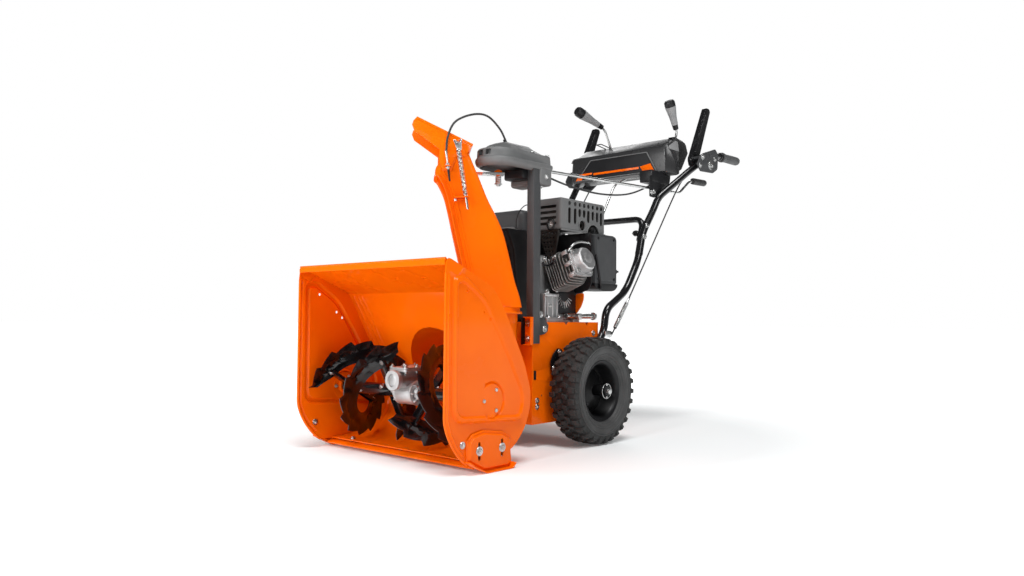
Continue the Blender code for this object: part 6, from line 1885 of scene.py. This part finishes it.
def make_floor():
    """A pale floor that fades to white a few metres away."""
    material, nodes, links = node_tree("studio_floor")
    shader = nodes["Principled BSDF"]
    noise = texture(nodes, links, "ShaderNodeTexNoise", 3.0, Detail=3.0)
    links.new(blended(nodes, links, noise.outputs["Fac"], (0.875, 0.895, 0.9), (0.855, 0.875, 0.88)),
              shader.inputs["Base Color"])
    shader.inputs["Roughness"].default_value = 0.7
    shader.inputs["Specular IOR Level"].default_value = 0.12
    shader.inputs["Emission Color"].default_value = (1, 1, 1, 1)
    scaled = nodes.new("ShaderNodeVectorMath")
    scaled.operation = "SCALE"
    scaled.inputs["Scale"].default_value = 0.22
    links.new(nodes["Texture Coordinate"].outputs["Object"], scaled.inputs[0])
    fall = nodes.new("ShaderNodeTexGradient")
    fall.gradient_type = "SPHERICAL"
    links.new(scaled.outputs[0], fall.inputs["Vector"])
    links.new(mapped(nodes, links, fall.outputs["Fac"], 0.72, 0.07, 0.58, 0.85),
              shader.inputs["Emission Strength"])
    builder = bmesh.new()
    bmesh.ops.create_grid(builder, x_segments=2, y_segments=2, size=40)
    floor = from_bmesh(builder)
    floor.location.z = -0.0004
    floor.name = "studio_floor"
    floor.data.materials.append(material)


def make_world():
    """White to the camera, dim to the object, so that the lights model its shape."""
    world = bpy.data.worlds.new("studio")
    bpy.context.scene.world = world
    world.use_nodes = True
    nodes, links = world.node_tree.nodes, world.node_tree.links
    background = nodes["Background"]
    background.inputs["Color"].default_value = (1.0, 1.0, 1.0, 1)
    path = nodes.new("ShaderNodeLightPath")
    strength = nodes.new("ShaderNodeMapRange")
    strength.inputs["To Min"].default_value = 0.11
    strength.inputs["To Max"].default_value = 1.0
    links.new(path.outputs["Is Camera Ray"], strength.inputs["Value"])
    links.new(strength.outputs["Result"], background.inputs["Strength"])


def sun(strength, angle, direction):
    light = bpy.data.lights.new("overhead", "SUN")
    light.energy = strength
    light.angle = radians(angle)
    obj = bpy.data.objects.new("overhead", light)
    obj.rotation_euler = Vector(direction).to_track_quat("-Z", "Y").to_euler()
    bpy.context.scene.collection.objects.link(obj)


def area_light(name, place_at, target, size, power, colour=(1, 1, 1)):
    light = bpy.data.lights.new(name, "AREA")
    light.shape = "RECTANGLE"
    light.size, light.size_y = size
    light.energy = power
    light.color = colour
    obj = bpy.data.objects.new(name, light)
    obj.location = place_at
    obj.rotation_euler = (Vector(target) - Vector(place_at)).to_track_quat("-Z", "Y").to_euler()
    bpy.context.scene.collection.objects.link(obj)


def make_camera():
    """Stands ahead of the machine on its left, a little above the auger shaft, and looks slightly up."""
    turn, lift, roll = radians(41.3286), radians(-2.228), radians(0.488)
    back = Vector((sin(turn) * cos(lift), -cos(turn) * cos(lift), sin(lift)))
    right = Vector((cos(turn), sin(turn), 0))
    up = back.cross(right)
    right, up = (cos(roll) * right + sin(roll) * up, cos(roll) * up - sin(roll) * right)
    camera = bpy.data.cameras.new("camera")
    camera.lens = 27.5
    camera.sensor_width = 36
    camera.clip_start = 0.05
    obj = bpy.data.objects.new("camera", camera)
    matrix = Matrix((right, up, back)).transposed().to_4x4()
    matrix.translation = (1.6639, -2.0039 + AXLE_Y, 0.3854)
    obj.matrix_world = matrix
    bpy.context.scene.collection.objects.link(obj)
    bpy.context.scene.camera = obj


make_floor()
make_world()
sun(1.75, 22, (-0.3, 0.24, -1.0))
area_light("key", (2.6, -0.9, 2.3), (0.2, -0.2, 0.4), (0.8, 0.8), 20)
area_light("front_fill", (-0.6, -3.3, 1.3), (0, -0.5, 0.3), (1.6, 1.4), 40)
area_light("grazing", (0.75, -3.4, 1.9), (0.3, -0.5, 0.28), (0.3, 0.3), 26)
area_light("rear_rim", (-1.5, 3.0, 2.4), (0, 0, 0.5), (2.5, 1.5), 40)
make_camera()
bpy.context.scene.view_settings.view_transform = "Standard"
